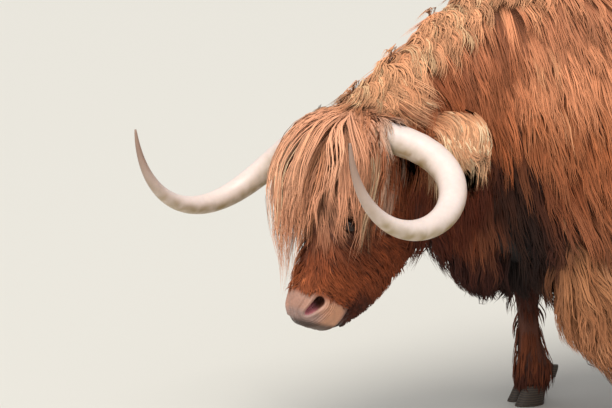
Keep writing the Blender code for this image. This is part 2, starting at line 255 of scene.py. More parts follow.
solids_bm, face_counts = bm_of_nodes(SKIN_NODES)
solid_tree = BVHTree.FromBMesh(solids_bm)
face_node = np.repeat(np.arange(len(SKIN_NODES)), face_counts)
for side in (1, -1):
    ahead = horn_leaves(side)
    turn = ahead.to_track_quat("Z", "Y").to_matrix().to_4x4()
    middle = on_head(HORN_ROOT[0] * side, *HORN_ROOT[1:]) + ahead * CUFF_AHEAD
    bmesh.ops.create_cone(
        solids_bm, cap_ends=True, segments=24, radius1=CUFF_RADIUS, radius2=CUFF_RADIUS - CUFF_TAPER,
        depth=CUFF_LENGTH, matrix=Matrix.Translation(middle) @ turn,
    )
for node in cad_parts:
    if node.startswith("dewclaw"):
        top = node_centre(node) + PAD_TOP
        foot = solid_tree.find_nearest(top)[0]
        place = Matrix.Translation(top.lerp(foot, 0.45))
        bmesh.ops.create_icosphere(solids_bm, subdivisions=2, radius=PAD_RADIUS, matrix=place)
bmesh.ops.remove_doubles(solids_bm, verts=solids_bm.verts, dist=0.00001)
lump = object_from(solids_bm, "lump")
remesh = lump.modifiers.new("one_surface", "REMESH")
remesh.mode = "VOXEL"
remesh.voxel_size = SKIN_VOXEL
voxel_mesh = bpy.data.meshes.new_from_object(lump.evaluated_get(bpy.context.evaluated_depsgraph_get()))
bpy.data.objects.remove(lump)
skin_bm = bmesh.new()
skin_bm.from_mesh(voxel_mesh)
bpy.data.meshes.remove(voxel_mesh)
print("voxel skin:", len(skin_bm.verts), "points")

# %% Sink the skin by the coat's depth
BODY_DEPTH = {"trunk": 0.048, "neck": 0.045, "ear_left": 0.016, "ear_right": 0.016, "tail": 0.016}


def smoothstep(low, high, value):
    """0 below low, 1 above high, and a smooth rise between."""
    t = np.clip((value - low) / (high - low), 0.0, 1.0)
    return t * t * (3 - 2 * t)


def bm_points(bm):
    """A bmesh's points as an array."""
    return np.array([vertex.co for vertex in bm.verts])


def edge_ends(bm):
    """The two point numbers of each edge."""
    return np.array([(edge.verts[0].index, edge.verts[1].index) for edge in bm.edges])


def spread_over(ends, values, rounds):
    """Smooths the columns of numbers that points carry over their neighbours."""
    count = len(values)
    degree = np.bincount(ends.ravel(), minlength=count)
    columns = []
    for column in values.reshape(count, -1).T:
        for _ in range(rounds):
            total = np.bincount(ends[:, 0], column[ends[:, 1]], count)
            total += np.bincount(ends[:, 1], column[ends[:, 0]], count)
            column = 0.5 * column + 0.5 * total / degree
        columns.append(column)
    return np.stack(columns, axis=-1).reshape(values.shape)


def of_node(part, *names):
    """True where a part number, as skin points and faces carry it, is one of the named nodes."""
    return np.isin(part, [SKIN_NODES.index(name) for name in names])


def coat_depth(points, part):
    """How far the skin lies below the coat's outer form; part is the number of the nearest solid."""
    z = points[:, 2]
    _, along, up = to_head(points).T
    depth = np.full(len(points), 0.03)
    for name, value in BODY_DEPTH.items():
        depth[of_node(part, name)] = value
    face = 0.020 - 0.010 * smoothstep(0.25, 0.38, along) - 0.0085 * smoothstep(0.40, 0.45, along)
    beard = 0.008 * smoothstep(-0.18, -0.30, up) * smoothstep(0.42, 0.30, along)
    depth = np.where(of_node(part, "head"), face + beard, depth)
    for name in LEGS:
        thick = 0.075 if name == "foreleg_left" else 0.040
        shag = 0.010 + thick * smoothstep(0.16, 0.34, z)
        depth = np.where(of_node(part, name), np.minimum(shag, thick), depth)
    return depth + of_node(part, "trunk") * 0.05 * smoothstep(0.55, 0.42, z)


def smooth(bm, rounds):
    """Evens out all of a bmesh."""
    for _ in range(rounds):
        bmesh.ops.smooth_vert(bm, verts=bm.verts, factor=0.5, use_axis_x=True, use_axis_y=True, use_axis_z=True)


smooth(skin_bm, 6)
skin_bm.verts.ensure_lookup_table()
skin_bm.verts.index_update()
points = bm_points(skin_bm)
found = [solid_tree.find_nearest(vertex.co) for vertex in skin_bm.verts]
nearest = face_node[[item[2] for item in found]]
above = np.array([(vertex.co - item[0]).dot(item[1]) for vertex, item in zip(skin_bm.verts, found)])
depth = spread_over(edge_ends(skin_bm), coat_depth(points, nearest) * (above < 0.004), 14)
skin_bm.normal_update()
for vertex, sink in zip(skin_bm.verts, depth):
    vertex.co -= vertex.normal * sink
smooth(skin_bm, 4)
print("coat depth from", round(depth.min(), 4), "to", round(depth.max(), 4), "m")

# %% [markdown]
# The muzzle and the lids need points closer together than the voxels give. Dividing their faces twice leaves about
# three millimetres between points, and once more around the nostrils and eyes. The pits that the solids have there
# are first drawn flat like a drum skin, so that the finer shapes start from a clean surface.

# %% Divide the muzzle and the eye region
MUZZLE_FROM = 0.36  # along the nose, from the poll
NOSTRIL_INNER = (0.036, 0.488, -0.020)
NOSTRIL_OUTER = (0.060, 0.440, -0.040)


def divide_where(bm, chosen):
    """Divides the edges of the faces whose centres satisfy a test on head places."""
    centres = to_head(np.array([face.calc_center_median() for face in bm.faces]))
    inside = chosen(centres)
    edges = {edge for face, wanted in zip(bm.faces, inside) if wanted for edge in face.edges}
    bmesh.ops.subdivide_edges(bm, edges=list(edges), cuts=1, use_grid_fill=True)
    bm.verts.ensure_lookup_table()
    bm.verts.index_update()


def eye_distance(places):
    """Distance from the nearer eye's centre, for head places."""
    mirrored = np.abs(places) * (1, 0, 0) + places * (0, 1, 1)
    return np.linalg.norm(mirrored - np.array(EYE_PLACE), axis=1)


def along_nostril(places, side):
    """Distance from the nostril's slit, and how far along it from its inner to its outer end."""
    start = np.array(NOSTRIL_INNER) * (side, 1, 1)
    reach = np.array(NOSTRIL_OUTER) * (side, 1, 1) - start
    along = np.clip((places - start) @ reach / (reach @ reach), 0.0, 1.0)
    return np.linalg.norm(places - start - along[:, None] * reach, axis=1), along


def near_nostril(places):
    """Distance from the nearer nostril's slit."""
    return np.minimum(along_nostril(places, 1)[0], along_nostril(places, -1)[0])


def move_points(bm, places):
    """Writes an array of places back to a bmesh."""
    for vertex, place in zip(bm.verts, places):
        vertex.co = place


def relax(bm, weight, rounds):
    """Smooths the points of a bmesh, each by the weight that a function gives its head place."""
    points = bm_points(bm)
    ends = edge_ends(bm)
    share = weight(to_head(points))[:, None]
    for _ in range(rounds):
        points += (spread_over(ends, points, 1) - points) * share
    move_points(bm, points)


def on_muzzle_end(places):
    """1 on the muzzle, fading out towards the face."""
    return smoothstep(MUZZLE_FROM, MUZZLE_FROM + 0.03, places[:, 1])


def in_pit(places):
    """1 where the solids have a nostril pit or an eye socket."""
    return np.maximum(near_nostril(places) < 0.032, eye_distance(places) < 0.034).astype(float)


divide_where(skin_bm, lambda c: (c[:, 1] > MUZZLE_FROM - 0.01) | (eye_distance(c) < 0.054))
relax(skin_bm, in_pit, 60)
relax(skin_bm, on_muzzle_end, 4)
divide_where(skin_bm, lambda c: (c[:, 1] > MUZZLE_FROM + 0.02) | (eye_distance(c) < 0.042))
relax(skin_bm, on_muzzle_end, 10)
divide_where(skin_bm, lambda c: (c[:, 1] > 0.415) & (c[:, 2] < 0.02) | (eye_distance(c) < 0.034))
relax(skin_bm, in_pit, 40)
relax(skin_bm, on_muzzle_end, 14)
points = bm_points(skin_bm)
print("divided skin:", len(skin_bm.verts), "points")

# %% [markdown]
# The nostril is a comma: wide and deep at its outer end, narrow and shallow towards the middle, with a raised rim.
# The lips meet in a groove along the side of the jaw, a shallow channel divides the nose, and short wrinkles run
# round the nostril on the bare side of the muzzle. The lids stand a little proud of the eyeball around an almond.

# %% Press in the nostrils, the mouth and the lids
EYE_RADIUS = 0.019


def nostril_radius(outer):
    """Half the nostril's width, from its narrow inner end to its round outer one."""
    return 0.0090 + 0.0070 * outer**1.5


def muzzle_relief(places):
    """Outward movement of each point of the muzzle, in metres."""
    out, along, up = places.T
    relief = np.zeros(len(places))
    for side in (1, -1):
        distance, outer = along_nostril(places, side)
        reach = distance / nostril_radius(outer)
        relief -= (0.010 + 0.024 * outer) * (1 - smoothstep(0.40, 1.05, reach))
        relief += 0.0058 * np.exp(-(((reach - 1.5) / 0.42) ** 2))
        relief -= 0.0030 * np.exp(-(((reach - 2.5) / 0.45) ** 2)) * smoothstep(-0.05, -0.02, up)
        ripple = np.sin(2 * math.pi * distance / 0.0065 + 3 * along)
        folds = smoothstep(0.020, 0.026, distance) * smoothstep(0.060, 0.040, distance)
        relief += 0.0015 * ripple * folds * smoothstep(-0.02, -0.05, up) * (out * side > 0)
    lip = np.interp(along, (0.375, 0.40, 0.50, 0.52), (-0.150, -0.150, -0.125, -0.118))
    relief -= 0.0065 * np.exp(-(((up - lip) / 0.0045) ** 2)) * smoothstep(0.368, 0.395, along)
    relief += 0.0030 * np.exp(-(((up - lip - 0.012) / 0.007) ** 2)) * smoothstep(0.38, 0.41, along)
    divide = np.exp(-((out / 0.0035) ** 2)) * smoothstep(0.462, 0.480, along)
    return relief - 0.0030 * divide * smoothstep(-0.125, -0.110, up)


def shape_lids(points, places):
    """Opens an almond in the skin over each eye, with a lid standing round it."""
    shaped = points.copy()
    for side in (1, -1):
        centre = np.array(EYE_PLACE) * (side, 1, 1)
        offset = places - centre
        distance = np.linalg.norm(offset, axis=1)
        tilt = offset[:, 1] + 0.25 * offset[:, 2]
        almond = np.hypot(tilt / 0.0175, (offset[:, 2] - 0.10 * offset[:, 1]) / 0.0105)
        near = smoothstep(0.036, 0.026, distance) * (places[:, 0] * side > 0.02)
        wanted = np.where(almond < 1.0, EYE_RADIUS - 0.006, EYE_RADIUS + 0.0035)
        wanted = wanted + 0.0015 * np.exp(-(((almond - 1.6) / 0.25) ** 2))
        target = offset / np.maximum(distance, 1e-6)[:, None] * wanted[:, None]
        weight = near * smoothstep(2.6, 1.5, almond)
        move = (target - offset) * weight[:, None]
        shaped += move @ HEAD_MATRIX
    return shaped


skin_bm.normal_update()
normals = np.array([vertex.normal for vertex in skin_bm.verts])
places = to_head(points)
for side in (1, -1):
    reach, outer = along_nostril(places, side)
    inward = normals[reach < 0.018].mean(axis=0)
    hold = smoothstep(0.030, 0.015, reach)[:, None]
    normals = normals * (1 - hold) + inward / np.linalg.norm(inward) * hold
flat_places = places  # the colours of the muzzle follow the shape it had before it was pressed in
points = points + normals * muzzle_relief(places)[:, None]
points = shape_lids(points, to_head(points))
move_points(skin_bm, points)
bmesh.ops.triangulate(skin_bm, faces=skin_bm.faces)
skin_bm.normal_update()
print("hide:", len(skin_bm.faces), "triangles")

# %% [markdown]
# ## Markings
#
# A red highland cow is one colour in name only. The locks that meet the weather bleach to straw, and the muzzle is
# bare pinkish skin. The underside of the neck and the jaw, the hollows, the far foreleg, a band under the mane and the
# pockets round the eyes are painted a deep red brown as painted shade. One colour per point of the skin carries this,
# and each lock of the coat later takes the colour of the skin at its root, so the two always agree.

# %% Name the colours
STRAW = srgb("#F2C596")
BLOND = srgb("#FFE2B8")
MANE_GOLD = srgb("#E29F73")
COPPER = srgb("#EC9A6E")
FRINGE_BROWN = srgb("#F2AC86")
GINGER = srgb("#B5663B")
RUST = srgb("#98502D")
DEEP = srgb("#6E2C14")
# painted shade: the dark brown laid where shade falls under the body, under the jaw, in the hollows and round the eyes
SHADE_BROWN = srgb("#3A1309")
CHEEK = srgb("#87401F")
ELBOW_TAN = srgb("#DC9A68")
MUZZLE_PINK = srgb("#B08573")
NOSE_GREY = srgb("#9A7F77")
LIP_TAN = srgb("#C28A68")
# painted shade on the underside of the muzzle's end, where the mouth faces down
MUZZLE_UNDER_SHADE = srgb("#2C1F19")
# painted shade deep in the nostril's outer end, over the pit that is modelled
NOSTRIL_SHADE = srgb("#4A2A20")
NOSTRIL_PINK = srgb("#A8656B")
print("hair colours:", STRAW, BLOND, MANE_GOLD, COPPER, GINGER, RUST)

# %% Colour the body
def painted(colour, layers):
    """A colour, or a row of them for each point, blended towards each layer's tint by its weight at each point."""
    colour = np.asarray(colour)
    for tint, weight in layers:
        weight = np.asarray(weight)[..., None]
        colour = colour * (1 - weight) + np.asarray(tint) * weight
    return colour


def under_crest(points):
    """How far points lie below the crest of the neck and the withers."""
    stations = (-0.73, -0.56, -0.41, -0.31, -0.08, 0.10)
    heights = (0.95, 1.10, 1.20, 1.26, 1.31, 1.31)
    return np.interp(points[:, 0], stations, heights) - points[:, 2]


def mottle(points, size):
    """A soft even-handed noise from -1 to 1 with blotches of about a size in metres."""
    x, y, z = (points / size).T
    wave = np.sin(1.9 * x + 1.3 * np.sin(1.1 * z + 0.7 * y)) + np.sin(2.3 * z + 1.7 * np.sin(1.3 * y + 0.9 * x))
    return 0.5 * (wave + 0.6 * np.sin(3.7 * y + 2.9 * np.sin(1.7 * x))) / 1.3


def body_colour(points, places, part):
    """The coat's colour at skin points, with painted shade under the neck and jaw, in the hollows and round the eyes;
    part is the number of the nearest solid.
    """
    x, y, z = points.T
    out, along, up = places.T
    left = y < SPINE_Y
    deep = under_crest(points)
    neck, trunk, head = (of_node(part, name) for name in ("neck", "trunk", "head"))
    front = neck | (trunk & (x < 0.05))
    # Painted shade in the hollow between the neck and the near foreleg, under the brisket: darkest along the fold's
    # line.
    fold = np.interp(z, (0.33, 0.52, 0.69, 0.83, 0.90), (-0.150, -0.185, -0.220, -0.280, -0.310))
    hollow_shade = np.exp(-(((x - fold) / 0.075) ** 2)) * smoothstep(0.92, 0.78, z)
    colour = painted(GINGER, (
        (COPPER, smoothstep(0.90, 1.08, z)),
        (RUST, 0.95 * smoothstep(0.94, 0.78, z)),
        # painted shadow: a darker band just below the mane's edge
        (DEEP, 0.5 * front * smoothstep(0.06, 0.10, deep) * smoothstep(0.20, 0.12, deep)),
        (RUST, 0.6 * neck * smoothstep(0.08, 0.16, deep)),
        # painted shade: the lower neck and the brisket darken downwards, under the lowered head
        (DEEP, neck * smoothstep(0.95, 0.82, z)),
        (SHADE_BROWN, 0.4 * neck * smoothstep(0.90, 0.78, z)),
        (SHADE_BROWN, front * smoothstep(0.72, 0.52, z)),
        (SHADE_BROWN, front * left * np.minimum(1.3 * hollow_shade, 1.0)),
    ))
    # The hollow is darkened further as painted shade.
    colour = colour * (1 - 0.9 * front * left * hollow_shade)[:, None]
    low_shoulder = trunk * left * smoothstep(0.76, 0.64, z) * smoothstep(-0.12, -0.06, x)
    elbow = of_node(part, "foreleg_left") * smoothstep(0.82, 0.62, z)
    other_leg = of_node(part, "foreleg_right", "hindleg_left", "hindleg_right")
    nape = smoothstep(0.05, 0.10, np.abs(out)) * smoothstep(-0.08, -0.14, along) * smoothstep(0.40, 0.25, np.abs(out))
    colour = painted(colour, (
        (ELBOW_TAN, 0.12 * low_shoulder * smoothstep(0.20, 0.10, x)),
        (MANE_GOLD, front * smoothstep(0.085, 0.035, deep) * smoothstep(0.05, -0.10, x)),
        (ELBOW_TAN, 0.9 * elbow * (z > 0.25) * smoothstep(-0.20, -0.14, x)),
        (DEEP, 0.6 * elbow * smoothstep(0.62, 0.46, z)),
        (RUST, 0.6 * other_leg * (z < 0.6)),
        # painted shade on the far foreleg, behind the brisket, darkest at its top
        (SHADE_BROWN, of_node(part, "foreleg_right") * (0.35 + 0.50 * smoothstep(0.18, 0.32, z))),
        (MANE_GOLD, 0.8 * of_node(part, "ear_left", "ear_right")),
        (CHEEK, head),
        (FRINGE_BROWN, head * smoothstep(-0.09, -0.03, up) * smoothstep(0.30, 0.18, along)),
        (RUST, 0.7 * head * smoothstep(0.30, 0.40, along) * smoothstep(-0.10, -0.03, up)),
        # painted shade under the jaw and on the throat
        (SHADE_BROWN, 0.8 * head * smoothstep(-0.12, -0.28, up) * smoothstep(0.30, 0.10, along)),
        (RUST, 0.85 * (head | neck) * nape * smoothstep(0.42, 0.30, np.linalg.norm(places, axis=1))),
        # painted shadow round the eyes, where the fringe hangs over them
        (SHADE_BROWN, 0.95 * head * np.exp(-((eye_distance(places) / 0.055) ** 2))),
    ))
    return colour * (1 + 0.10 * mottle(points, 0.11) + 0.06 * mottle(points + 5, 0.04))[:, None]

# %% Colour the muzzle
def past_hairline(places):
    """How far along the nose a place is, allowing for the hairline's slope on the side and at the chin."""
    _, along, up = places.T
    return along - 0.12 * np.clip(-0.03 - up, 0, 0.06) - 0.05 * smoothstep(-0.125, -0.150, up)


def muzzle_colour(colour, places):
    """Lays the bare skin of the muzzle over the coat's colour, with painted shade under its end and deep in its
    nostrils.
    """
    _, along, up = places.T
    bare = smoothstep(0.418, 0.436, past_hairline(places))
    front = np.interp(up, (-0.195, -0.155, -0.129, -0.096, -0.025, 0.03), (0.454, 0.483, 0.494, 0.505, 0.510, 0.50))
    colour = painted(colour, (
        (MUZZLE_PINK, bare),
        (NOSE_GREY, smoothstep(0.462, 0.480, along) * (up < 0.02) * 0.85),
        (LIP_TAN, 0.8 * bare * smoothstep(-0.040, -0.085, up) * smoothstep(-0.135, -0.110, up)),
        # painted shade under the chin
        (SHADE_BROWN, 0.85 * smoothstep(0.33, 0.40, along) * smoothstep(-0.110, -0.135, up)),
        # painted shade along the muzzle's downward-facing end
        (MUZZLE_UNDER_SHADE, 0.85 * smoothstep(-0.022, -0.008, along - front) * smoothstep(0.020, -0.020, up)),
    ))
    for side in (1, -1):
        distance, outer = along_nostril(places, side)
        reach = distance / nostril_radius(outer)
        inside = smoothstep(1.15, 0.85, reach)
        # the pink lining, with painted shade towards the nostril's deep outer end
        lining = painted(NOSTRIL_PINK, ((NOSTRIL_SHADE, smoothstep(0.45, 0.85, outer)),))
        colour = colour * (1 - inside[:, None]) + lining * inside[:, None]
    return colour * (1 + 0.12 * mottle(places, 0.008) * bare)[:, None]

# %% Lay the colours over the skin
points = bm_points(skin_bm)
places = to_head(points)
skin_part = np.array([face_node[solid_tree.find_nearest(vertex.co)[2]] for vertex in skin_bm.verts])
skin_colour = body_colour(points, places, skin_part)
ends = edge_ends(skin_bm)
coarse = spread_over(ends, skin_colour, 12)
refined = smoothstep(0.33, 0.40, places[:, 1])[:, None]
skin_colour = muzzle_colour(coarse * (1 - refined) + skin_colour * refined, flat_places)
print("mean colour of the skin:", skin_colour.mean(axis=0).round(3))

# %% [markdown]
# The hide's own map comes from Blender's smart projection, which cuts the surface into flat islands. The coat needs
# it too: each lock is painted as a tiny patch at the place of its root on this same map.

# %% Make the hide and unwrap it
def write_colours(mesh, layer_name, colour):
    """Stores a colour for each point of a mesh."""
    layer = mesh.color_attributes.new(layer_name, "FLOAT_COLOR", "POINT")
    layer.data.foreach_set("color", np.column_stack([colour, np.ones(len(colour))]).astype(np.float32).ravel())


hide = object_from(skin_bm, "hide")
hide.data.shade_smooth()
hide.data.uv_layers.new(name="OFBake")
write_colours(hide.data, "coat_colour", skin_colour)
bpy.context.view_layer.objects.active = hide
hide.select_set(True)
bpy.ops.object.mode_set(mode="EDIT")
bpy.ops.mesh.select_all(action="SELECT")
bpy.ops.uv.smart_project(angle_limit=math.radians(66), island_margin=0.001)
bpy.ops.object.mode_set(mode="OBJECT")
hide.select_set(False)


def attribute_rows(collection, key, width):
    """Reads one property of every element into rows."""
    values = np.empty(len(collection) * width, dtype=np.float32)
    collection.foreach_get(key, values)
    return values.reshape(-1, width)


skin_points = attribute_rows(hide.data.vertices, "co", 3).astype(float)
skin_faces = attribute_rows(hide.data.loops, "vertex_index", 1).astype(int).reshape(-1, 3)
skin_map = attribute_rows(hide.data.uv_layers["OFBake"].data, "uv", 2).reshape(-1, 3, 2)
corners = skin_points[skin_faces]
skin_middle = corners.mean(axis=1)
crossed = np.cross(corners[:, 1] - corners[:, 0], corners[:, 2] - corners[:, 0])
skin_area = np.linalg.norm(crossed, axis=1) / 2
face_normal = crossed / np.maximum(2 * skin_area, 1e-12)[:, None]
skin_place = to_head(skin_middle)
face_part = skin_part[skin_faces[:, 0]]
print("hide:", len(skin_faces), "triangles,", round(skin_area.sum(), 2), "square metres")

# %% [markdown]
# ## The coat
#
# Long hair hangs in locks: a few hundred hairs that leave the skin together, lie along the body, wave together and
# end in a point. Particle hair isn't kept by an export, so each lock is built as solid mesh. A guide line is walked
# over the hide step by step in the direction the coat lies there, rising to a chosen height in the coat's depth and
# never leaving the solids' outline. Strands are then set around each guide and drawn together towards its tip.
#
# The forelock bridges the hollow between the brow and the horns, so its guides run just under the outer surface of
# its own solid instead of rising from the hide. The faces of that solid that are buried in the head don't count.

# %% Measure how deep the coat is over each part of the hide
DEEPEST_COAT = 0.16
STICKING_OUT = 0.014  # the coat's depth where the hide stands out of the solids, as on a horn's cuff
ROOM_ON_HORN = 0.016  # how high hair may lie over a horn's root
HORN_ROOT_REACH = 0.20  # from the poll; the part of the horns that hair may lie on
TOUCHING = 0.003  # solids closer together than this count as one

soft_nodes = [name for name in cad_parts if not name.startswith(("claw", "dewclaw", "horn", "eye"))]
outline_bm, _ = bm_of_nodes(soft_nodes)
outline_tree = BVHTree.FromBMesh(outline_bm)
outline_bm.free()
forelock_bm, _ = bm_of_nodes(["forelock"])
buried = []
for face in forelock_bm.faces:
    middle = face.calc_center_median()
    foot, foot_normal, _, _ = solid_tree.find_nearest(middle)
    if (middle - foot).dot(foot_normal) < TOUCHING:
        buried.append(face)
bmesh.ops.delete(forelock_bm, geom=buried, context="FACES")
forelock_tree = BVHTree.FromBMesh(forelock_bm)
print("forelock:", len(forelock_bm.faces), "outer faces,", len(buried), "inner ones left out")
forelock_bm.free()


def room_above(place, normal):
    """Distance from the hide to the coat's outer form, passing the narrow gaps between solids."""
    start = Vector(place)
    direction = Vector(normal)
    foot, foot_normal, _, _ = outline_tree.find_nearest(start)
    if (start - foot).dot(foot_normal) > 0:
        return STICKING_OUT
    gone = room = 0.0
    for _ in range(8):
        hit, hit_normal, _, distance = outline_tree.ray_cast(start + direction * gone, direction, 0.2)
        if hit is None or (room > 0.0 and distance > TOUCHING and hit_normal.dot(direction) < 0):
            break
        gone += distance + 0.00005
        room = gone
    return min(room, DEEPEST_COAT)


horn_bm, _ = bm_of_nodes(["horn_left", "horn_right"])
horn_tree = BVHTree.FromBMesh(horn_bm)
tip_faces = [face for face in horn_bm.faces if (face.calc_center_median() - POLL).length > HORN_ROOT_REACH]
bmesh.ops.delete(horn_bm, geom=tip_faces, context="FACES")
horn_bm.verts.index_update()
horn_root_points = bm_points(horn_bm)
horn_root_faces = np.array([[vertex.index for vertex in face.verts] for face in horn_bm.faces])
horn_bm.free()
point_normals = attribute_rows(hide.data.vertices, "normal", 3).astype(float)
room = np.array([room_above(place, normal) for place, normal in zip(skin_points, point_normals)])
room = spread_over(ends, room, 4)
ground_points = np.vstack([skin_points, horn_root_points])
ground_faces = np.vstack([skin_faces, horn_root_faces + len(skin_points)])
ground_tree = BVHTree.FromPolygons(ground_points.tolist(), ground_faces.tolist())
face_room = np.append(room[skin_faces].mean(axis=1), np.full(len(horn_root_faces), ROOM_ON_HORN))
face_colour = skin_colour[skin_faces].mean(axis=1)
print("coat room from", round(room.min(), 4), "to", round(room.max(), 4), "m")

# %% Sow the roots
def unit(vectors):
    """Rows scaled to length one."""
    return vectors / np.maximum(np.linalg.norm(vectors, axis=-1, keepdims=True), 1e-9)


def spatial_order(points):
    """Face numbers in an order that keeps near faces together: cells of three centimetres on a Z-shaped path."""
    cells = ((points - points.min(axis=0)) / 0.03).astype(int)
    key = np.zeros(len(points), dtype=np.int64)
    for bit in range(7):
        for axis in range(3):
            key |= ((cells[:, axis] >> bit) & 1) << (3 * bit + axis)
    return np.argsort(key, kind="stable")


ORDER = spatial_order(skin_middle)


def sow(weight, count):
    """Evenly scattered root faces, closer together where the weight is greater."""
    share = np.cumsum((skin_area * weight)[ORDER])
    aims = (np.arange(count) + random.random(count)) / count * share[-1]
    faces = ORDER[np.minimum(np.searchsorted(share, aims), len(ORDER) - 1)]
    a, b = random.random((2, count))
    fold = a + b > 1
    a, b = np.where(fold, 1 - a, a), np.where(fold, 1 - b, b)
    parts = np.column_stack([1 - a - b, a, b])
    return faces, parts


print("roots are sown on", len(ORDER), "faces")

# %% [markdown]
# A guide is pulled four ways at each step. It follows the lie of the coat, but where the body turns under, or where
# the piece is meant to fall, it hangs instead, and once it hangs it goes on hanging. It is lifted to its own height
# over the hide, kept inside the outline of the solids, and kept out of the horns. The lift doesn't act on a guide
# that hangs past an edge, such as the ear's, because no hide lies under it there.

# %% Walk the guides over the hide
WAYS = {
    "steps": 8,  # how many straight parts a strand has
    "layer": (0.35, 1.0),  # how high the locks lie, as shares of the coat's depth
    "ceiling": 0.2,  # the greatest height above the hide
    "hang": 1.0,  # how freely the locks hang where the body turns under
    "fall": 0.0,  # how freely the outer half of a lock falls
    "allow": 0.006,  # how far a guide may leave the solids' outline
    "over": None,  # a surface to lie under, where the hair bridges between the horns
}
ROOT_SUNK = 0.003  # how deep a guide starts in the hide
UNDER_BRIDGE = 0.022  # how deep the lowest guides lie under a bridging surface
HORN_CLEARANCE = 0.004
LOWEST_GUIDE, LOWEST_POINT = 0.012, 0.004  # above the floor
HANGING = np.array((0.05, 0.0, -1.0))  # down, and swept a little to the rear


def dot(first, second):
    """The scalar products of rows, as a column."""
    return np.sum(first * second, axis=-1, keepdims=True)


def height_over(tree, points):
    """How far points lie outside a surface and away from it, and the normals and faces nearest to them."""
    found = [tree.find_nearest(point) for point in points.tolist()]
    offset = points - np.array([item[0] for item in found])
    normals = np.array([item[1] for item in found])
    return dot(offset, normals)[:, 0], np.linalg.norm(offset, axis=1), normals, np.array([item[2] for item in found])


def walk(faces, parts, length, layer, lie, ways):
    """Guide lines from root faces: their points and outward directions."""
    steps, over = ways["steps"], ways["over"]
    count = len(faces)
    here = np.einsum("nk,nkc->nc", parts, corners[faces])
    normal = face_normal[faces]
    rooms = face_room[faces]
    route = np.empty((steps + 1, count, 3))
    outward = np.empty((steps + 1, count, 3))
    route[0], outward[0] = here - normal * ROOT_SUNK, normal
    stride = length / steps
    free = np.zeros(count)
    for step in range(steps):
        t = (step + 0.6) / steps
        flow = unit(lie(here, to_head(here), t))
        loose = ways["hang"] * smoothstep(0.05, -0.65, normal[:, 2])
        loose = np.maximum(np.maximum(loose, ways["fall"] * smoothstep(0.05, 0.65, t)), free)
        free = np.minimum(ways["fall"], 1.0) * loose
        along = unit(flow - normal * dot(flow, normal))
        along = unit(along * (1 - loose[:, None]) + HANGING * loose[:, None])
        here = here + along * stride[:, None]
        height, distance, normal, found = height_over(over or ground_tree, here)
        past_edge = (np.abs(height) < 0.7 * distance) & (loose > 0.3)
        if over:
            wanted = (layer - 1) * UNDER_BRIDGE
        else:
            rooms = 0.5 * rooms + 0.5 * face_room[found]
            wanted = np.minimum(layer * rooms, ways["ceiling"]) * smoothstep(0, 0.45, t + 0.08) * (1 - 0.25 * t * t)
        lift = np.where(height < wanted, 0.55 if over else 0.8, 0.8 * (1 - loose)) * (wanted - height)
        here = here + normal * (lift * ~past_edge)[:, None]
        beyond, distance, shell_normal, _ = height_over(outline_tree, here)
        beyond = beyond - ways["allow"]
        here = here - shell_normal * (np.maximum(beyond, 0) * (distance > 0.0005))[:, None]
        clear, _, horn_normal, _ = height_over(horn_tree, here)
        here = here + horn_normal * np.clip(HORN_CLEARANCE - clear, 0, None)[:, None]
        here[:, 2] = np.maximum(here[:, 2], LOWEST_GUIDE)
        facing = outward[step] + normal * (1 - loose[:, None])
        route[step + 1] = here
        outward[step + 1] = unit(facing - along * dot(facing, along))
    for _ in range(2):
        route[1:-1] = 0.5 * route[1:-1] + 0.25 * (route[:-2] + route[2:])
    return route, outward

# %% [markdown]
# Every strand is a flat three-sided spike that is bent along its own line near the guide. Its shading normals don't
# follow its narrow sides. They point out from the body, with a small turn to either side, so that a lock is lit like
# the rounded form it covers and doesn't look like a bundle of rods.

# %% Make the shape of one strand
def ringed_cone(sides, wide, narrow, height, rings):
    """An upright cone standing on z = 0, cut into rings."""
    bm = bmesh.new()
    lift = Matrix.Translation((0, 0, height / 2))
    bmesh.ops.create_cone(
        bm, cap_ends=True, segments=sides, radius1=wide, radius2=narrow, depth=height, matrix=lift
    )
    for level in range(1, rings):
        everything = bm.verts[:] + bm.edges[:] + bm.faces[:]
        cut = (0, 0, height * level / rings)
        bmesh.ops.bisect_plane(bm, geom=everything, plane_co=cut, plane_no=(0, 0, 1), dist=0.0001)
    return bm


def rod_template(segments):
    """A closed three-sided spike: each vertex's ring and corner, and its triangles."""
    bm = ringed_cone(3, 1.0, 0.0, segments, segments)
    bmesh.ops.remove_doubles(bm, verts=bm.verts, dist=0.0001)
    bmesh.ops.triangulate(bm, faces=bm.faces)
    bmesh.ops.recalc_face_normals(bm, faces=bm.faces)
    bm.verts.index_update()
    rings = np.array([round(vertex.co.z) for vertex in bm.verts])
    angle = np.array([math.atan2(vertex.co.y, vertex.co.x) for vertex in bm.verts])
    corner = np.round(angle / (2 * math.pi / 3) + 3).astype(int) % 3
    faces = np.array([[vertex.index for vertex in face.verts] for face in bm.faces])
    bm.free()
    return rings, corner, faces


print("a strand of four parts has", len(rod_template(4)[2]), "triangles")

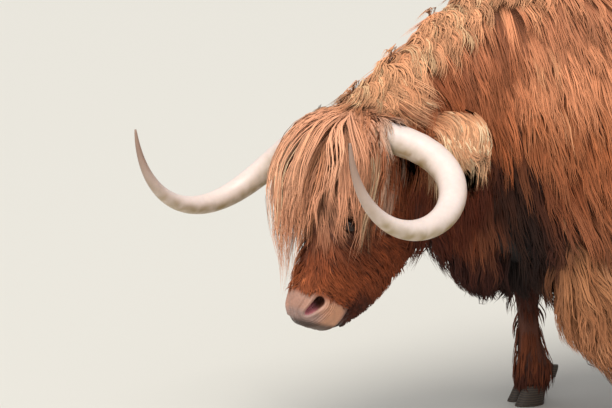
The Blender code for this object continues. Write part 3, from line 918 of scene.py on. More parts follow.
# %% Set strands around the guides
def strands_around(route, outward, count, shape):
    """Points of the strands of every lock, and their sideways, upward and outward directions."""
    rings, locks = route.shape[0], route.shape[1]
    t = np.linspace(0, 1, rings)[:, None, None]
    reach = 1 - shape["uneven"] * random.random((1, locks, count)) ** 1.5
    position = t * reach * (rings - 1)
    low = np.minimum(position.astype(int), rings - 2)
    part = (position - low)[..., None]
    lock = np.arange(locks)[None, :, None]
    line = route[low, lock] * (1 - part) + route[low + 1, lock] * part
    away = unit(outward[low, lock] * (1 - part) + outward[low + 1, lock] * part)
    ahead = unit(np.gradient(line, axis=0))
    side = unit(np.cross(away, ahead))
    for ring in range(1, rings):  # a strand never twists over between two of its rings
        side[ring] *= np.where(dot(side[ring], side[ring - 1]) < 0, -1, 1)
    up = np.cross(ahead, side)
    travelled = t * reach * shape["length"][None, :, None]
    gather = 1 - shape["clump"] * t**1.1
    across = (random.random((1, locks, count)) * 2 - 1) * shape["radius"]
    above = (random.random((1, locks, count)) - 0.25) * shape["radius"] * 0.8
    spread = shape.get("phase", 2 * math.pi)  # how far neighbouring locks may be out of step
    phase = random.random((1, locks, 1)) * spread + 0.35 * random.standard_normal((1, locks, count))
    swing = shape["wave"] * (0.5 + random.random((1, locks, 1))) * t**0.7
    turn = 2 * math.pi * travelled / shape["wavelength"] + phase
    stray = 0.6 * shape["radius"] * random.standard_normal((1, locks, count)) * t**2
    sideways = across * gather + swing * np.sin(turn) + stray
    upwards = above * gather + 0.35 * swing * (np.cos(turn) + 0.3)
    return line + side * sideways[..., None] + up * np.maximum(upwards, -0.002)[..., None], side, up, away

# %% Colour the strands
def strand_colours(faces, t_rows, count, shape):
    """A colour for each ring of each strand: darkened at the root as painted shade deep in the coat, bleached at the
    tip.
    """
    locks = len(faces)
    base = face_colour[faces][None, :, None, :]
    t = t_rows[:, None, None]
    tip = np.asarray(shape["tip"])
    bleach = shape["bleach"] * t**1.3 * (0.4 + 0.6 * random.random((1, locks, 1)))
    pale = (random.random((1, locks, 1)) < shape["blond"]) * (random.random((1, locks, count)) < 0.75) * 0.85
    # Colours darkened by painted shade stay dark: only the lighter ones bleach.
    light = np.clip(base.mean(axis=-1) / 0.16, 0.12, 1.0)  # the dark undersides don't bleach
    pale = (np.maximum(pale * smoothstep(0.1, 0.5, t), bleach) * light)[..., None]
    colour = base * (1 - pale) + tip * pale
    # painted shade at the root: a strand darkens towards where it leaves the hide, deep in the coat
    root = shape.get("root", 0.55)  # how bright a strand is at its root
    dark = root + (1 - root) * smoothstep(0.0, 0.45, t)
    vary = 1 + shape["vary"] * random.standard_normal((1, locks, 1))
    vary = vary + 0.10 * random.standard_normal((1, locks, count))
    return colour * (dark * np.clip(vary, 0.55, 1.5))[..., None]

# %% Build a piece of coat
def fill_mesh(name, points, faces, patch, strand, colour, facing):
    """One mesh from rows of points, triangles, two maps, and a colour and a normal per point."""
    mesh = bpy.data.meshes.new(name)
    mesh.vertices.add(len(points))
    mesh.vertices.foreach_set("co", points.astype(np.float32).ravel())
    mesh.loops.add(faces.size)
    mesh.loops.foreach_set("vertex_index", faces.astype(np.int32).ravel())
    mesh.polygons.add(len(faces))
    mesh.polygons.foreach_set("loop_start", np.arange(0, faces.size, 3, dtype=np.int32))
    mesh.update(calc_edges=True)
    for map_name, values in (("OFBake", patch), ("Strand", strand)):
        layer = mesh.uv_layers.new(name=map_name)
        layer.data.foreach_set("uv", values[faces.ravel()].astype(np.float32).ravel())
    write_colours(mesh, "coat_colour", colour)
    mesh.shade_smooth()
    mesh.normals_split_custom_set_from_vertices(facing)
    return link_object(name, mesh)


ROUNDNESS = 0.6  # how round a strand looks: 0 shades a lock like the body under it
CORNER_ANGLE = np.radians((-30, 90, 210))  # a strand's right edge, ridge and left edge
EDGE_SHARE, RIDGE_SHARE = 0.58, 0.22  # a strand's half width and half thickness, as shares of its "width"
PATCH = 0.003  # how far across each lock's patch is on the map
NEXT_STREAKS = (7.3, 0.61)  # how far apart neighbouring strands lie on the streak map
coat_pieces = []


def grow(name, weight, locks, strands, lie, length, shape, **settings):
    """One piece of coat: sows the locks, walks their guides and builds every strand."""
    ways = dict(WAYS, **settings)
    lowest, highest = ways["layer"]
    faces, parts = sow(weight, locks)
    lengths = length(faces) * (0.75 + 0.45 * random.random(locks))
    shape = dict(shape, length=lengths)
    layers = lowest + (highest - lowest) * random.random(locks)
    route, outward = walk(faces, parts, lengths, layers, lie, ways)
    lines, side, up, away = strands_around(route, outward, strands, shape)
    rings, corner, template = rod_template(ways["steps"])
    t_rows = np.linspace(0, 1, ways["steps"] + 1)
    taper = (0.55 + 0.45 * smoothstep(0, 0.2, t_rows)) * (1 - smoothstep(0.35, 1.0, t_rows)) ** 0.7
    thick = shape["width"] * taper[:, None, None] * (0.7 + 0.6 * random.random((1, locks, strands)))
    to_side, to_ridge = (turned[corner][:, None, None] for turned in (np.cos(CORNER_ANGLE), np.sin(CORNER_ANGLE)))
    width = (EDGE_SHARE * thick[rings] * to_side)[..., None]
    height = (RIDGE_SHARE * thick[rings] * to_ridge)[..., None]
    points = lines[rings] + side[rings] * width + up[rings] * height
    points[..., 2] = np.maximum(points[..., 2], LOWEST_POINT)
    facing = unit(away[rings] + side[rings] * to_side[..., None] * ROUNDNESS)
    colour = strand_colours(faces, t_rows, strands, shape)[rings]

    number = np.arange(locks * strands).reshape(1, locks, strands)
    across = np.array((1.0, 0.5, 0.0))[corner]
    along = t_rows[rings]
    streak = [place[:, None, None] + apart * number for place, apart in zip((across, along), NEXT_STREAKS)]
    streak = np.stack(streak, axis=-1)
    root = np.einsum("nk,nkc->nc", parts, skin_map[faces])[None, :, None, :]
    inside = np.stack([across - 0.5, along - 0.5], axis=-1)[:, None, None, :]
    patch = np.broadcast_to(np.clip(root, PATCH, 1 - PATCH) + PATCH * inside, streak.shape)
    blocks = [
        np.transpose(block, (1, 2, 0, 3)).reshape(-1, block.shape[-1])
        for block in (points, patch, streak, colour, facing)
    ]
    starts = (np.arange(locks * strands) * len(rings))[:, None, None]
    all_faces = (template[None] + starts).reshape(-1, 3)
    coat_pieces.append(fill_mesh(name, blocks[0], all_faces, *blocks[1:]))
    print(name + ":", locks, "locks,", locks * strands, "strands,", len(all_faces), "triangles")

# %% [markdown]
# ### Which way the coat lies
#
# Every part of the coat has its own lie. On the body the hair parts along the spine and falls down the sides with a
# slight slant to the rear. The mane arches out of the crest and turns over to the near side. The fringe fans out of a
# whorl between the horns and falls along the face, the ear's hair runs outwards and droops, and the elbow's long hair
# sweeps down and then back.

# %% The lie of each part
BACK, RIGHT, DOWN = np.array((1.0, 0.0, 0.0)), np.array((0.0, 1.0, 0.0)), np.array((0.0, 0.0, -1.0))
LEFT_ROW, NOSE_ROW, BROW_ROW = HEAD_MATRIX
TAIL_AXIS = np.array((1.158, 0.1476, 0.0))  # the line that the tail hangs down


def body_lie(here, places, t):
    """Parted along the spine, down, and a little to the rear."""
    slant = 0.15 + 0.25 * mottle(here, 0.30)[:, None]
    from_spine = np.clip((here[:, 1] - SPINE_Y) / 0.06, -1, 1)[:, None]
    return DOWN + slant * BACK + 0.6 * from_spine * RIGHT


def mane_lie(here, places, t):
    """Out of the crest to the rear and the near side, then down, with a turned-in tip."""
    rise = 1 - smoothstep(0.15, 0.65, t)
    curl = smoothstep(0.65, 0.95, t)
    over = (1.10 * BACK - 0.60 * RIGHT) * rise
    fall = (0.10 * BACK - 0.30 * RIGHT + DOWN) * (1 - rise)
    return over + fall - (1.30 * BACK + 0.20 * DOWN) * curl


def neck_lie(here, places, t):
    """Straight down the side of the neck and a little back."""
    return DOWN + 0.16 * BACK + 0.15 * mottle(here, 0.2)[:, None] * BACK


def elbow_lie(here, places, t):
    """Down, then swept strongly to the rear towards the bottom."""
    sweep = smoothstep(0.62, 0.36, here[:, 2])[:, None]
    return DOWN + (0.05 + 1.0 * sweep + 0.25 * t * sweep) * BACK


def fringe_lie(here, places, t):
    """Fanning outwards over the poll, then down the face."""
    out, along, _ = places.T
    fan = 0.9 * np.clip(out / 0.12, -1.3, 1.3) * smoothstep(0.11, -0.05, along) + 0.10 * mottle(here, 0.05)
    return NOSE_ROW + fan[:, None] * LEFT_ROW - 0.35 * smoothstep(0.0, 0.08, out)[:, None] * BROW_ROW


def horn_root_lie(here, places, t):
    """Outwards along the horn and forwards over it, then down."""
    side = np.sign(places[:, :1])
    return (LEFT_ROW * 0.92 * side - BROW_ROW * 0.39) * (1 - 0.8 * t) + NOSE_ROW * (0.4 + 0.7 * t)


def whorl_lie(here, places, t):
    """Outwards from the back of the poll to each side, and back onto the neck."""
    side = np.clip(places[:, :1] / 0.03, -1, 1)
    return LEFT_ROW * side - BROW_ROW * 0.35 + DOWN * (0.05 + 0.4 * t)


def cheek_lie(here, places, t):
    """Down the cheek and a little forward, turning back towards the jaw."""
    out, along, up = places.T[..., None]
    top = smoothstep(-0.06, -0.01, up)
    forward = 0.75 * top + 0.65 * smoothstep(0.18, 0.34, along) - 0.05 + 0.3 * mottle(here, 0.05)[:, None]
    return -BROW_ROW * (1 - 0.75 * top) + NOSE_ROW * forward + LEFT_ROW * np.sign(out) * 0.35 * top


def jaw_lie(here, places, t):
    """Hanging from the jaw and the throat."""
    return DOWN - 0.25 * BROW_ROW


def ear_lie(here, places, t):
    """Outwards along the ear, and drooping over its edge."""
    out = places[:, :1]
    droop = smoothstep(0.22, 0.36, np.abs(out)) * 0.5 + 0.6 * t * t
    return LEFT_ROW * np.sign(out) * (1.2 - 1.1 * droop) + NOSE_ROW * (0.05 + 0.4 * droop) + DOWN * 1.4 * droop


def tail_lie(here, places, t):
    """Straight down the tail."""
    return DOWN


def switch_lie(here, places, t):
    """Down and a little outwards, then inwards to the tail's point."""
    outward = (here - TAIL_AXIS) * (1, 1, 0)
    return DOWN + unit(outward) * (0.35 - 0.6 * t)

# %% Measure each face's place, and how long its hair is
x_at, y_at, z_at = skin_middle.T
out_at, along_at, up_at = skin_place.T
aside_at = np.abs(out_at)
on_near_side = y_at < SPINE_Y


def is_part(*names):
    """1 for the faces whose nearest solid is one of the names."""
    return of_node(face_part, *names).astype(float)


def reach_of(value):
    """A length function that gives the same length everywhere."""
    return lambda faces: np.full(len(faces), value)


def reach_by(measure, stations, lengths):
    """A length function that follows a measure of each face, such as its place along the nose."""
    return lambda faces: np.interp(measure[faces], stations, lengths)


print("hide faces on the near side:", on_near_side.sum(), "of", len(skin_faces))

# %% [markdown]
# ### The fringe
#
# The fringe, or dossan, is the breed's mark: thick hair from the poll that hides the eyes and ends in long bleached
# points. Strands here are a few millimetres wide, with slow waves. A shorter, darker inner layer fills the forehead
# behind it. Fine pale hair leaves the cuffs and covers the roots of the horns.

# %% Grow the fringe and the hair behind the poll
FRINGE = {
    "width": 0.0034, "radius": 0.020, "clump": 0.62, "uneven": 0.35, "wave": 0.005, "wavelength": 0.16,
    "tip": BLOND, "bleach": 0.20, "blond": 0.24, "vary": 0.10, "root": 0.92,
}
INNER = dict(FRINGE, tip=GINGER, bleach=0.5, blond=0.0)
ROOT_HAIR = dict(
    FRINGE, width=0.0026, radius=0.010, clump=0.35, wave=0.0015, tip=srgb("#F6DCC4"), bleach=0.9, blond=0.0
)
POLL_HAIR = dict(FRINGE, width=0.0032, radius=0.012, clump=0.4, wave=0.003, blond=0.08, bleach=0.30)


def fringe_length(faces):
    """To below the eye on the far side, and to just above it on the near one, with a longer lock here and there."""
    stations = (-0.11, -0.06, -0.03, 0.01, 0.035, 0.11)
    end = np.interp(out_at[faces], stations, (0.25, 0.32, 0.35, 0.27, 0.205, 0.180))
    end = end + 0.09 * (random.random(len(faces)) < 0.15)
    return np.clip(end + 0.04 - along_at[faces], 0.12, 0.48)


scalp = is_part("head", "neck")
on_poll = scalp * smoothstep(0.140, 0.120, aside_at) * smoothstep(-0.100, -0.050, up_at)
on_poll *= smoothstep(-0.100, -0.080, along_at) * smoothstep(0.050, 0.020, along_at) * (0.3 + aside_at / 0.1)
for name, side in (("fringe_left", 1), ("fringe_right", -1)):
    grow(
        name, on_poll * (out_at * side >= 0), 165, 11, fringe_lie, fringe_length, FRINGE,
        layer=(0.0, 1.0), allow=0.008, over=forelock_tree,
    )
forehead = scalp * smoothstep(0.165, 0.10, along_at) * smoothstep(-0.115, -0.075, along_at)
forehead *= smoothstep(-0.110, -0.050, up_at)
grow("fringe_inner", forehead, 170, 9, fringe_lie, fringe_length, INNER, steps=6, layer=(0.45, 0.92))
on_cuff = scalp * (aside_at > 0.080) * (np.abs(along_at) < 0.070) * (np.abs(up_at) < 0.110)
over_horn = reach_by(along_at, (-0.02, 0.03), (0.100, 0.180))  # longer where it hangs in front of the horn
grow(
    "horn_root_hair", on_cuff, 190, 8, horn_root_lie, over_horn, ROOT_HAIR,
    steps=6, layer=(0.3, 1.0), allow=0.1,
)
behind_poll = scalp * smoothstep(-0.050, -0.090, along_at) * smoothstep(0.12, 0.06, aside_at)
behind_poll *= smoothstep(0.21, 0.15, np.linalg.norm(skin_place, axis=1))
down_nape = reach_by(aside_at, (0.03, 0.09), (0.18, 0.11))
grow("poll_hair", behind_poll, 130, 9, whorl_lie, down_nape, POLL_HAIR, steps=6, allow=0.008)

# %% [markdown]
# ### The face and the ears
#
# The face's hair is short and lies flat, so it only breaks up the outline. It shortens to nothing at the muzzle. The
# ear is hardly seen in life: long hair grows from its root and its shell and hangs well below it.

# %% Grow the face, the jaw and the ears
FACE = {
    "width": 0.0030, "radius": 0.0070, "clump": 0.45, "uneven": 0.45, "wave": 0.0030, "wavelength": 0.070,
    "tip": GINGER, "bleach": 0.30, "blond": 0.03, "vary": 0.14,
}
JAW = dict(FACE, width=0.0040, radius=0.010, wavelength=0.06, clump=0.3, tip=CHEEK)
EAR = dict(FRINGE, radius=0.013, uneven=0.5, bleach=0.60, blond=0.30, vary=0.16, root=0.75)
bare = smoothstep(0.430, 0.410, past_hairline(skin_place))
lids_free = eye_distance(skin_place) > 0.029
nostrils_free = near_nostril(skin_place) > 0.030
on_face = is_part("head") * bare * lids_free * smoothstep(-0.06, 0.06, along_at)
on_face *= (1 + 2.0 * smoothstep(0.28, 0.38, along_at)) * nostrils_free
to_muzzle = reach_by(along_at, (0.0, 0.25, 0.34, 0.40, 0.43), (0.090, 0.085, 0.065, 0.034, 0.012))
FLAT = {"steps": 4, "layer": (0.3, 0.9), "ceiling": 0.014, "hang": 0.2}
grow("face_left", on_face * (out_at >= 0), 1050, 5, cheek_lie, to_muzzle, FACE, **FLAT)
grow("face_right", on_face * (out_at < 0), 650, 4, cheek_lie, to_muzzle, FACE, **FLAT)
on_jaw = is_part("head") * smoothstep(-0.14, -0.24, up_at) * smoothstep(0.40, 0.32, along_at)
grow("jaw", on_jaw, 220, 7, jaw_lie, reach_of(0.032), JAW, steps=3, hang=0.1)
DROOPING = {"steps": 7, "layer": (0.5, 1.0), "ceiling": 0.020, "fall": 1.0, "allow": 0.090}
past_ear = reach_by(aside_at, (0.10, 0.34), (0.24, 0.120))  # long at the root, so that the tips hang level
for node, locks, strands in (("ear_left", 190, 11), ("ear_right", 120, 8)):
    on_ear = is_part(node) * (1 + 2.0 * smoothstep(0.24, 0.12, aside_at))
    grow(node.replace("ear", "ear_hair"), on_ear, locks, strands, ear_lie, past_ear, EAR, **DROOPING)

# %% [markdown]
# ### Mane, neck and body
#
# The strands are wider here than on the head, because a lock on the flank is itself thicker and reads from further
# away. A streaked map across each strand still shows single hairs.

# %% Grow the mane and the neck
MANE = {
    "width": 0.0038, "radius": 0.015, "clump": 0.60, "uneven": 0.20, "wave": 0.005, "wavelength": 0.15,
    "tip": STRAW, "bleach": 0.40, "blond": 0.16, "vary": 0.16, "phase": 0.5, "root": 0.75,
}
NECK_HAIR = dict(MANE, phase=6.3, wavelength=0.17, clump=0.5, uneven=0.4, tip=GINGER, blond=0.04)
BRISKET = dict(NECK_HAIR, width=0.0048, wave=0.009, wavelength=0.11, tip=RUST, bleach=0.30, blond=0.0)
below_crest = under_crest(skin_middle)
on_crest = is_part("neck", "trunk") * smoothstep(0.08, 0.02, below_crest) * smoothstep(0.06, -0.10, x_at)
on_crest *= 0.35 + 0.65 * smoothstep(0.10, -0.02, y_at - SPINE_Y + 0.15 * smoothstep(-0.2, -0.7, x_at))
ahead_half = x_at < -0.36
over_crest = reach_by(x_at, (-0.74, -0.60, -0.45, -0.30, 0.0), (0.12, 0.19, 0.16, 0.12, 0.09))
STANDING = {"steps": 7, "layer": (0.55, 1.0)}
grow("mane_front", on_crest * ahead_half, 185, 11, mane_lie, over_crest, MANE, **STANDING)
grow("mane_rear", on_crest * ~ahead_half, 180, 11, mane_lie, over_crest, MANE, **STANDING)
low_front = smoothstep(0.70, 0.56, z_at)
on_neck = is_part("neck") * (1 - 0.8 * smoothstep(0.12, 0.04, below_crest)) * (1 - low_front)
grow(
    "neck_left", on_neck * on_near_side, 320, 13, neck_lie, reach_of(0.18), NECK_HAIR,
    steps=4, allow=-0.004,
)
grow("neck_right", on_neck * ~on_near_side, 200, 9, neck_lie, reach_of(0.18), NECK_HAIR, steps=4)
breast = is_part("neck", "trunk") * low_front * smoothstep(0.12, 0.02, x_at)
breast *= 1 + smoothstep(0.56, 0.46, z_at)
grow("brisket", breast, 300, 10, neck_lie, reach_of(0.13), BRISKET, steps=4, hang=0.8, allow=0.0)

# %% Grow the trunk, the legs and the tail
BODY = {
    "width": 0.0051, "radius": 0.018, "clump": 0.50, "uneven": 0.45, "wave": 0.005, "wavelength": 0.15,
    "tip": MANE_GOLD, "bleach": 0.30, "blond": 0.04, "vary": 0.08, "root": 0.85,
}
SHOULDER = dict(BODY, width=0.0040, radius=0.015, clump=0.6)
ELBOW = dict(BODY, width=0.0041, radius=0.014, wave=0.010, wavelength=0.14, bleach=0.40, blond=0.15, clump=0.75)
LEG = dict(BODY, width=0.0045, radius=0.009, wave=0.003, wavelength=0.06, tip=GINGER)
TAIL = dict(MANE, phase=6.3, width=0.0060, radius=0.020, wave=0.012, wavelength=0.16)
off_breast = 1 - np.minimum(breast, 1.0)
ahead = smoothstep(0.36, 0.22, x_at)
on_shoulder = is_part("trunk") * ahead * off_breast * on_near_side
upper_leg = smoothstep(0.44, 0.54, z_at)
near_flank = is_part("trunk") * (1 - ahead) * on_near_side + is_part("hindleg_left") * upper_leg
far_flank = (is_part("trunk") * off_breast + is_part("hindleg_right", "foreleg_right") * upper_leg) * ~on_near_side
on_elbow = is_part("foreleg_left") * smoothstep(0.24, 0.32, z_at)
on_shin = is_part(*LEGS) * (1 - upper_leg) * (z_at > 0.055) * (1 + 1.5 * smoothstep(0.20, 0.10, z_at))
on_shin *= 1 - on_elbow


def feather_length(faces):
    """Longer above the fetlocks, whose hair covers the roots of the dewclaws."""
    z = z_at[faces]
    return 0.065 + 0.055 * smoothstep(0.10, 0.15, z) * smoothstep(0.30, 0.20, z)


LAID = {"layer": (0.5, 1.0)}
grow("shoulder_left", on_shoulder, 480, 13, body_lie, reach_of(0.17), SHOULDER, steps=4, **LAID)
grow("flank_left", near_flank, 440, 10, body_lie, reach_of(0.19), BODY, steps=4, **LAID)
grow("flank_right", far_flank, 370, 9, body_lie, reach_of(0.19), BODY, steps=4, **LAID)
grow("elbow_left", on_elbow, 280, 11, elbow_lie, reach_of(0.22), ELBOW, steps=5, allow=0.030)
grow("lower_legs", on_shin, 480, 6, tail_lie, feather_length, LEG, steps=4)
grow("tail_hair", is_part("tail"), 90, 8, tail_lie, reach_of(0.16), TAIL, steps=5)
on_dock = is_part("tail") * smoothstep(0.86, 0.76, z_at)
grow("tail_switch_hair", on_dock, 60, 10, switch_lie, reach_of(0.44), TAIL, allow=0.012, **LAID)

# %% [markdown]
# ## Horns, eyes and hooves
#
# A cow's horn is keratin over a bony core: ivory and satin along its length, ringed and speckled where it is oldest,
# and dark at the tip. The eye is a wet dark ball, and the hooves are two claws each with growth rings.

# %% The horns
HORN_BASE_RADIUS = 0.040
HORN_TIP_RADIUS = 0.003
HORN_INSET = 0.0006  # keeps the horn and its rings inside its solid
RING_HEIGHT = 0.0007  # of the growth rings near the root
HORN_ROUTE = (  # the control points of its axis, in head axes
    HORN_ROOT, (0.440, -0.027, -0.176), (0.428, 0.288, -0.119), (0.395, 0.384, 0.199), (0.398, 0.128, 0.329),
)
HORN_IVORY = srgb("#EAD8D0")
HORN_TAN = srgb("#9E8862")
HORN_SPECK = srgb("#8F6E3C")
HORN_TIP_BROWN = srgb("#8C6C58")


def horn_point(t, side):
    """A point of the horn's quartic curve from the poll."""
    place = sum((Vector(corner) * (math.comb(4, i) * (1 - t) ** (4 - i) * t**i)
                 for i, corner in enumerate(HORN_ROUTE)), Vector())
    return on_head(place.x * side, place.y, place.z)


def horn_colour(places, along, down):
    """Ivory, tan underneath, partly the horn's own tan and partly painted shade, speckled underneath near the root,
    and brown at the tip.
    """
    # the side facing down is tan: partly the horn's own colour and partly painted shade
    under = smoothstep(-0.6, 0.55, down) * smoothstep(1.0, 0.7, along)
    speck = smoothstep(0.15, 0.75, mottle(places, 0.010)) * smoothstep(0.34, 0.10, along) * smoothstep(-0.5, 0.4, down)
    colour = painted(HORN_IVORY, (
        (HORN_TAN, (0.80 + 0.30 * mottle(places, 0.014)) * under),
        (HORN_SPECK, 0.65 * speck),
        (HORN_TIP_BROWN, smoothstep(0.72, 0.97, along) * 0.9),
    ))
    return colour * (1 + 0.04 * mottle(places, 0.03))[:, None]


def make_horn(node, side):
    """A horn extruded ring by ring along its curve, with its colour worked out from the place along it."""
    sides, rings = 32, 130
    bm = bmesh.new()
    loop = bmesh.ops.create_circle(bm, cap_ends=True, segments=sides, radius=1.0)["verts"]
    across = BROW.copy()
    order = []
    for index in range(rings + 1):
        t = index / rings
        ahead = (horn_point(t + 0.01, side) - horn_point(t - 0.01, side)).normalized()
        across = (across - ahead * across.dot(ahead)).normalized()
        other = ahead.cross(across)
        radius = HORN_TIP_RADIUS + (HORN_BASE_RADIUS - HORN_TIP_RADIUS) * (1 - t**1.65) ** 0.8
        radius += RING_HEIGHT * math.sin(2 * math.pi * index / 5.0) * max(0.0, 1 - t / 0.30) - HORN_INSET
        if index:
            edges = [bm.edges.get((a, b)) for a, b in zip(loop, loop[1:] + loop[:1])]
            geom = bmesh.ops.extrude_edge_only(bm, edges=edges)["geom"]
            fresh = {item for item in geom if isinstance(item, bmesh.types.BMVert)}
            loop = [next(e.other_vert(v) for e in v.link_edges if e.other_vert(v) in fresh) for v in loop]
        for number, vertex in enumerate(loop):
            angle = 2 * math.pi * number / sides
            vertex.co = horn_point(t, side) + (across * math.cos(angle) + other * math.sin(angle)) * radius
            order.append((vertex, t))
    bmesh.ops.contextual_create(bm, geom=loop)
    bmesh.ops.recalc_face_normals(bm, faces=bm.faces)
    bm.normal_update()
    bm.verts.index_update()
    along = np.empty(len(bm.verts))
    for vertex, t in order:
        along[vertex.index] = t
    down = -np.array([vertex.normal.z for vertex in bm.verts])
    colour = horn_colour(bm_points(bm), along, down)
    horn = object_from(bm, node + "_keratin")
    write_colours(horn.data, "horn_colour", colour)
    horn.data.shade_smooth()
    return horn


horns = {node: make_horn(node, side) for node, side in (("horn_left", 1), ("horn_right", -1))}
print("horn faces:", len(horns["horn_left"].data.polygons))

# %% The eyes
def make_eye(node, side):
    """An eyeball with a slight corneal bulge."""
    bm = bmesh.new()
    centre = on_head(EYE_PLACE.x * side, EYE_PLACE.y, EYE_PLACE.z)
    bmesh.ops.create_uvsphere(bm, u_segments=32, v_segments=24, radius=EYE_RADIUS - 0.0004)
    gaze = (LEFT * side * 0.92 + NOSE * 0.20 + BROW * 0.25).normalized()
    for vertex in bm.verts:
        vertex.co += gaze * 0.0014 * max(0.0, vertex.co.normalized().dot(gaze) - 0.72) / 0.28
    bmesh.ops.translate(bm, vec=centre, verts=bm.verts)
    eye = object_from(bm, node.replace("eye", "eyeball"))
    eye.data.shade_smooth()
    return eye


eyes = {node: make_eye(node, side) for node, side in (("eye_left", 1), ("eye_right", -1))}
print("eyeball faces:", len(eyes["eye_left"].data.polygons))

# %% The hooves
def make_claw(node, rings):
    """A claw or dewclaw shaped inside its node's box: a ringed, slanted half-round block."""
    low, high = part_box(node)
    size = high - low
    small = node.startswith("dewclaw")
    bm = ringed_cone(28, 0.5, 0.34 if small else 0.38, 1.0, rings)
    sharp = [edge for edge in bm.edges if edge.is_manifold and edge.calc_face_angle(0) > 1.0]
    bmesh.ops.bevel(
        bm, geom=sharp, offset=0.035, segments=3, profile=0.5, affect="EDGES", material=-1, clamp_overlap=True
    )
    for vertex in bm.verts:
        z = vertex.co.z
        swell = 1 + 0.018 * math.sin(2 * math.pi * z * 5) * smoothstep(0.1, 0.4, z)
        slope = 0.17 * (z - 0.5)
        if small:  # a dewclaw narrows downwards and leans in to the leg
            swell *= 0.45 + 0.55 * smoothstep(-0.1, 0.9, z)
            slope = -0.14 * (1 - z)
        vertex.co = Vector((
            low.x + size.x * (0.5 + 0.86 * vertex.co.x * swell + slope),
            low.y + size.y * (0.5 + 0.98 * vertex.co.y * swell),
            low.z + size.z * z,
        ))
    return bm


hoof_bm = bmesh.new()
hoof_nodes = sorted(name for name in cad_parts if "claw" in name)
for node in hoof_nodes:
    claw = make_claw(node, 6)
    scratch = bpy.data.meshes.new("claw")
    claw.to_mesh(scratch)
    claw.free()
    hoof_bm.from_mesh(scratch)
    bpy.data.meshes.remove(scratch)
bmesh.ops.recalc_face_normals(hoof_bm, faces=hoof_bm.faces)
hooves = object_from(hoof_bm, "hooves")
hooves.data.shade_smooth()
print("hooves:", len(hoof_nodes), "claws,", len(hooves.data.polygons), "faces")

# %% [markdown]
# ## Finishes
#
# Hair is keratin with a soft sheen along it, rough enough to look dry. Its colour comes from the markings, broken
# up by a streak map that runs the length of each strand, about one hair to half a millimetre, drawn a little coarser
# so that it shows.

# %% Hair and hide
def object_pattern(tree, kind, size, settings):
    """A pattern in the object's own metres, with features of about a size in millimetres."""
    place = add_node(tree, "ShaderNodeTexCoord")
    return add_node(tree, kind, dict(settings, Scale=1000 / size), {"Vector": place.outputs["Object"]})


def shaded_marking(tree, layer_name, pattern, span):
    """The colour of the markings, darkened and lightened by a pattern."""
    marking = add_node(tree, "ShaderNodeAttribute", {"attribute_name": layer_name})
    shade = add_node(tree, "ShaderNodeMapRange", span, {"Value": pattern})
    tinted = add_node(
        tree, "ShaderNodeVectorMath", {"operation": "SCALE"},
        {"Vector": marking.outputs["Color"], "Scale": shade.outputs["Result"]},
    )
    return tinted.outputs["Vector"]


def between(tree, pattern, dark, light):
    """A colour between two, chosen by a pattern."""
    ramp = add_node(tree, "ShaderNodeValToRGB", None, {"Fac": pattern})
    for element, code in zip(ramp.color_ramp.elements, (dark, light)):
        element.color = (*srgb(code), 1.0)
    return ramp.outputs["Color"]


def finish(tree, shader, colour, height, bump, values):
    """Links a colour and a bump of a strength and a depth in metres, and sets the uniform values."""
    tree.links.new(colour, shader.inputs["Base Color"])
    if height:
        relief = add_node(tree, "ShaderNodeBump", {"Strength": bump[0], "Distance": bump[1]}, {"Height": height})
        tree.links.new(relief.outputs["Normal"], shader.inputs["Normal"])
    for socket, value in values.items():
        shader.inputs[socket].default_value = value


HAIR_IOR = 1.55
STREAKS = (6.0, 1.1, 1.0)  # six over a strand's 3 to 5 mm and one along it; a real hair is too fine to show
coat, tree, shader = new_material("red_highland_hair")  # dry, barely glossy strands with single hairs drawn on them
strand_map = add_node(tree, "ShaderNodeUVMap", {"uv_map": "Strand"})
stretched = add_node(tree, "ShaderNodeMapping", {"Scale": STREAKS}, {"Vector": strand_map.outputs["UV"]})
streaks = add_node(
    tree, "ShaderNodeTexNoise", {"noise_dimensions": "2D", "Scale": 1.0, "Detail": 2.0},
    {"Vector": stretched.outputs["Vector"]},
).outputs["Fac"]
streaked = shaded_marking(
    tree, "coat_colour", streaks, {"From Min": 0.30, "From Max": 0.70, "To Min": 0.60, "To Max": 1.18}
)
hair_values = {"IOR": HAIR_IOR, "Roughness": 0.65, "Specular IOR Level": 0.20}
finish(tree, shader, streaked, streaks, (0.5, 0.0006), hair_values)

# %% The hide under the coat and the bare muzzle
# The hide's markings are darkened further by the nap pattern, as painted shade, so that gaps in the coat look deep.
under_coat, tree, shader = new_material("undercoat_in_painted_shade")  # a dark matt nap, so that gaps in the coat look deep
TUFT = 3.846  # mm across a tuft of short hair
nap = object_pattern(tree, "ShaderNodeTexNoise", TUFT, {"Detail": 3.0}).outputs["Fac"]
napped = shaded_marking(tree, "coat_colour", nap, {"To Min": 0.35, "To Max": 0.90})
finish(tree, shader, napped, nap, (0.8, 0.002), {"IOR": HAIR_IOR, "Roughness": 0.75})

muzzle, tree, shader = new_material("bare_muzzle_skin")  # moist and pebbled, with a soft sheen
PEBBLE, PORE = 3.846, 1.429  # mm across, and mm apart; pores are drawn coarser than they are, to show
pebbles = object_pattern(tree, "ShaderNodeTexVoronoi", PEBBLE, {"feature": "DISTANCE_TO_EDGE"}).outputs["Distance"]
pores = object_pattern(tree, "ShaderNodeTexNoise", PORE, {"Detail": 2.0}).outputs["Fac"]
grain = add_node(tree, "ShaderNodeMath", {"operation": "ADD"}, {0: pebbles, 1: pores}).outputs["Value"]
pebbled = shaded_marking(tree, "coat_colour", pebbles, {"From Max": 0.25, "To Min": 0.80, "To Max": 1.05})
finish(tree, shader, pebbled, grain, (0.35, 0.0009), {
    "IOR": 1.40, "Roughness": 0.42, "Subsurface Weight": 0.04, "Subsurface Radius": (0.006, 0.002, 0.001),
})

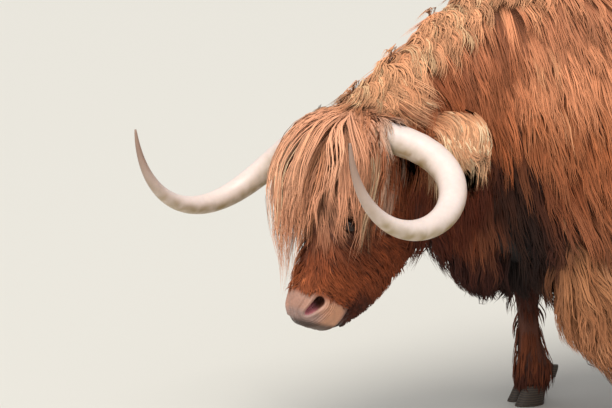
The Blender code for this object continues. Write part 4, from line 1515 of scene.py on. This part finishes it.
hide.data.materials.append(under_coat)
hide.data.materials.append(muzzle)
on_muzzle = of_node(face_part, "head") & (bare < 0.55)
hide.data.polygons.foreach_set("material_index", on_muzzle.astype(np.int32))
for piece in coat_pieces:
    piece.data.materials.append(coat)

# %% Horn, eye and hoof
keratin, tree, shader = new_material("polished_horn")  # satin, with light sinking a little way in
SCRATCH = 11.11  # mm for the longest; each finer level of the noise halves it, down to 0.7
scratches = object_pattern(tree, "ShaderNodeTexNoise", SCRATCH, {"Detail": 4.0}).outputs["Fac"]
scratched = shaded_marking(tree, "horn_colour", scratches, {"To Min": 0.90, "To Max": 1.06})
finish(tree, shader, scratched, scratches, (0.15, 0.001), {
    "IOR": 1.54, "Roughness": 0.38, "Subsurface Weight": 0.10, "Subsurface Radius": (0.010, 0.007, 0.004),
})

wet_eye, tree, shader = new_material("wet_brown_eye")  # almost black, so that the glint is what is seen
FLECK = 4.545  # mm across the flecks of the iris
iris = object_pattern(tree, "ShaderNodeTexNoise", FLECK, {"Detail": 2.0}).outputs["Fac"]
finish(tree, shader, between(tree, iris, "#0E0807", "#2E1A10"), None, None, {"IOR": 1.376, "Roughness": 0.10})

hoof, tree, shader = new_material("dull_hoof_horn")  # dry and dark, with rings of growth
RING = 6.981  # mm between growth rings; the wave texture repeats 20 times in a full turn of its phase
growth = object_pattern(
    tree, "ShaderNodeTexWave", RING * 20 / (2 * math.pi), {"bands_direction": "Z", "Distortion": 2.0}
).outputs["Fac"]
ringed = between(tree, growth, "#2A2019", "#4A3B2E")
finish(tree, shader, ringed, growth, (0.3, 0.001), {"IOR": 1.54, "Roughness": 0.6})
print("materials:", [made.name for made in bpy.data.materials])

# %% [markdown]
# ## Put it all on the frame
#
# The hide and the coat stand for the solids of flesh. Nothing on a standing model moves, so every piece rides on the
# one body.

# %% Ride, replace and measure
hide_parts(*SKIN_NODES)
for piece, node in ((coat_pieces[0], "forelock"), (coat_pieces[-1], "tail_switch")):
    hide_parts(node)
for piece in [hide] + coat_pieces:
    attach(piece, "root")
for node, piece in horns.items():
    piece.data.materials.append(keratin)
    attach(piece, "root")
    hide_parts(node)
for node, piece in eyes.items():
    piece.data.materials.append(wet_eye)
    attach(piece, "root")
    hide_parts(node)
hooves.data.materials.append(hoof)
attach(hooves, "root")
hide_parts(*hoof_nodes)

total = sum(len(polygon.vertices) - 2 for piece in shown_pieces() for polygon in piece.data.polygons)
print("triangles:", total)
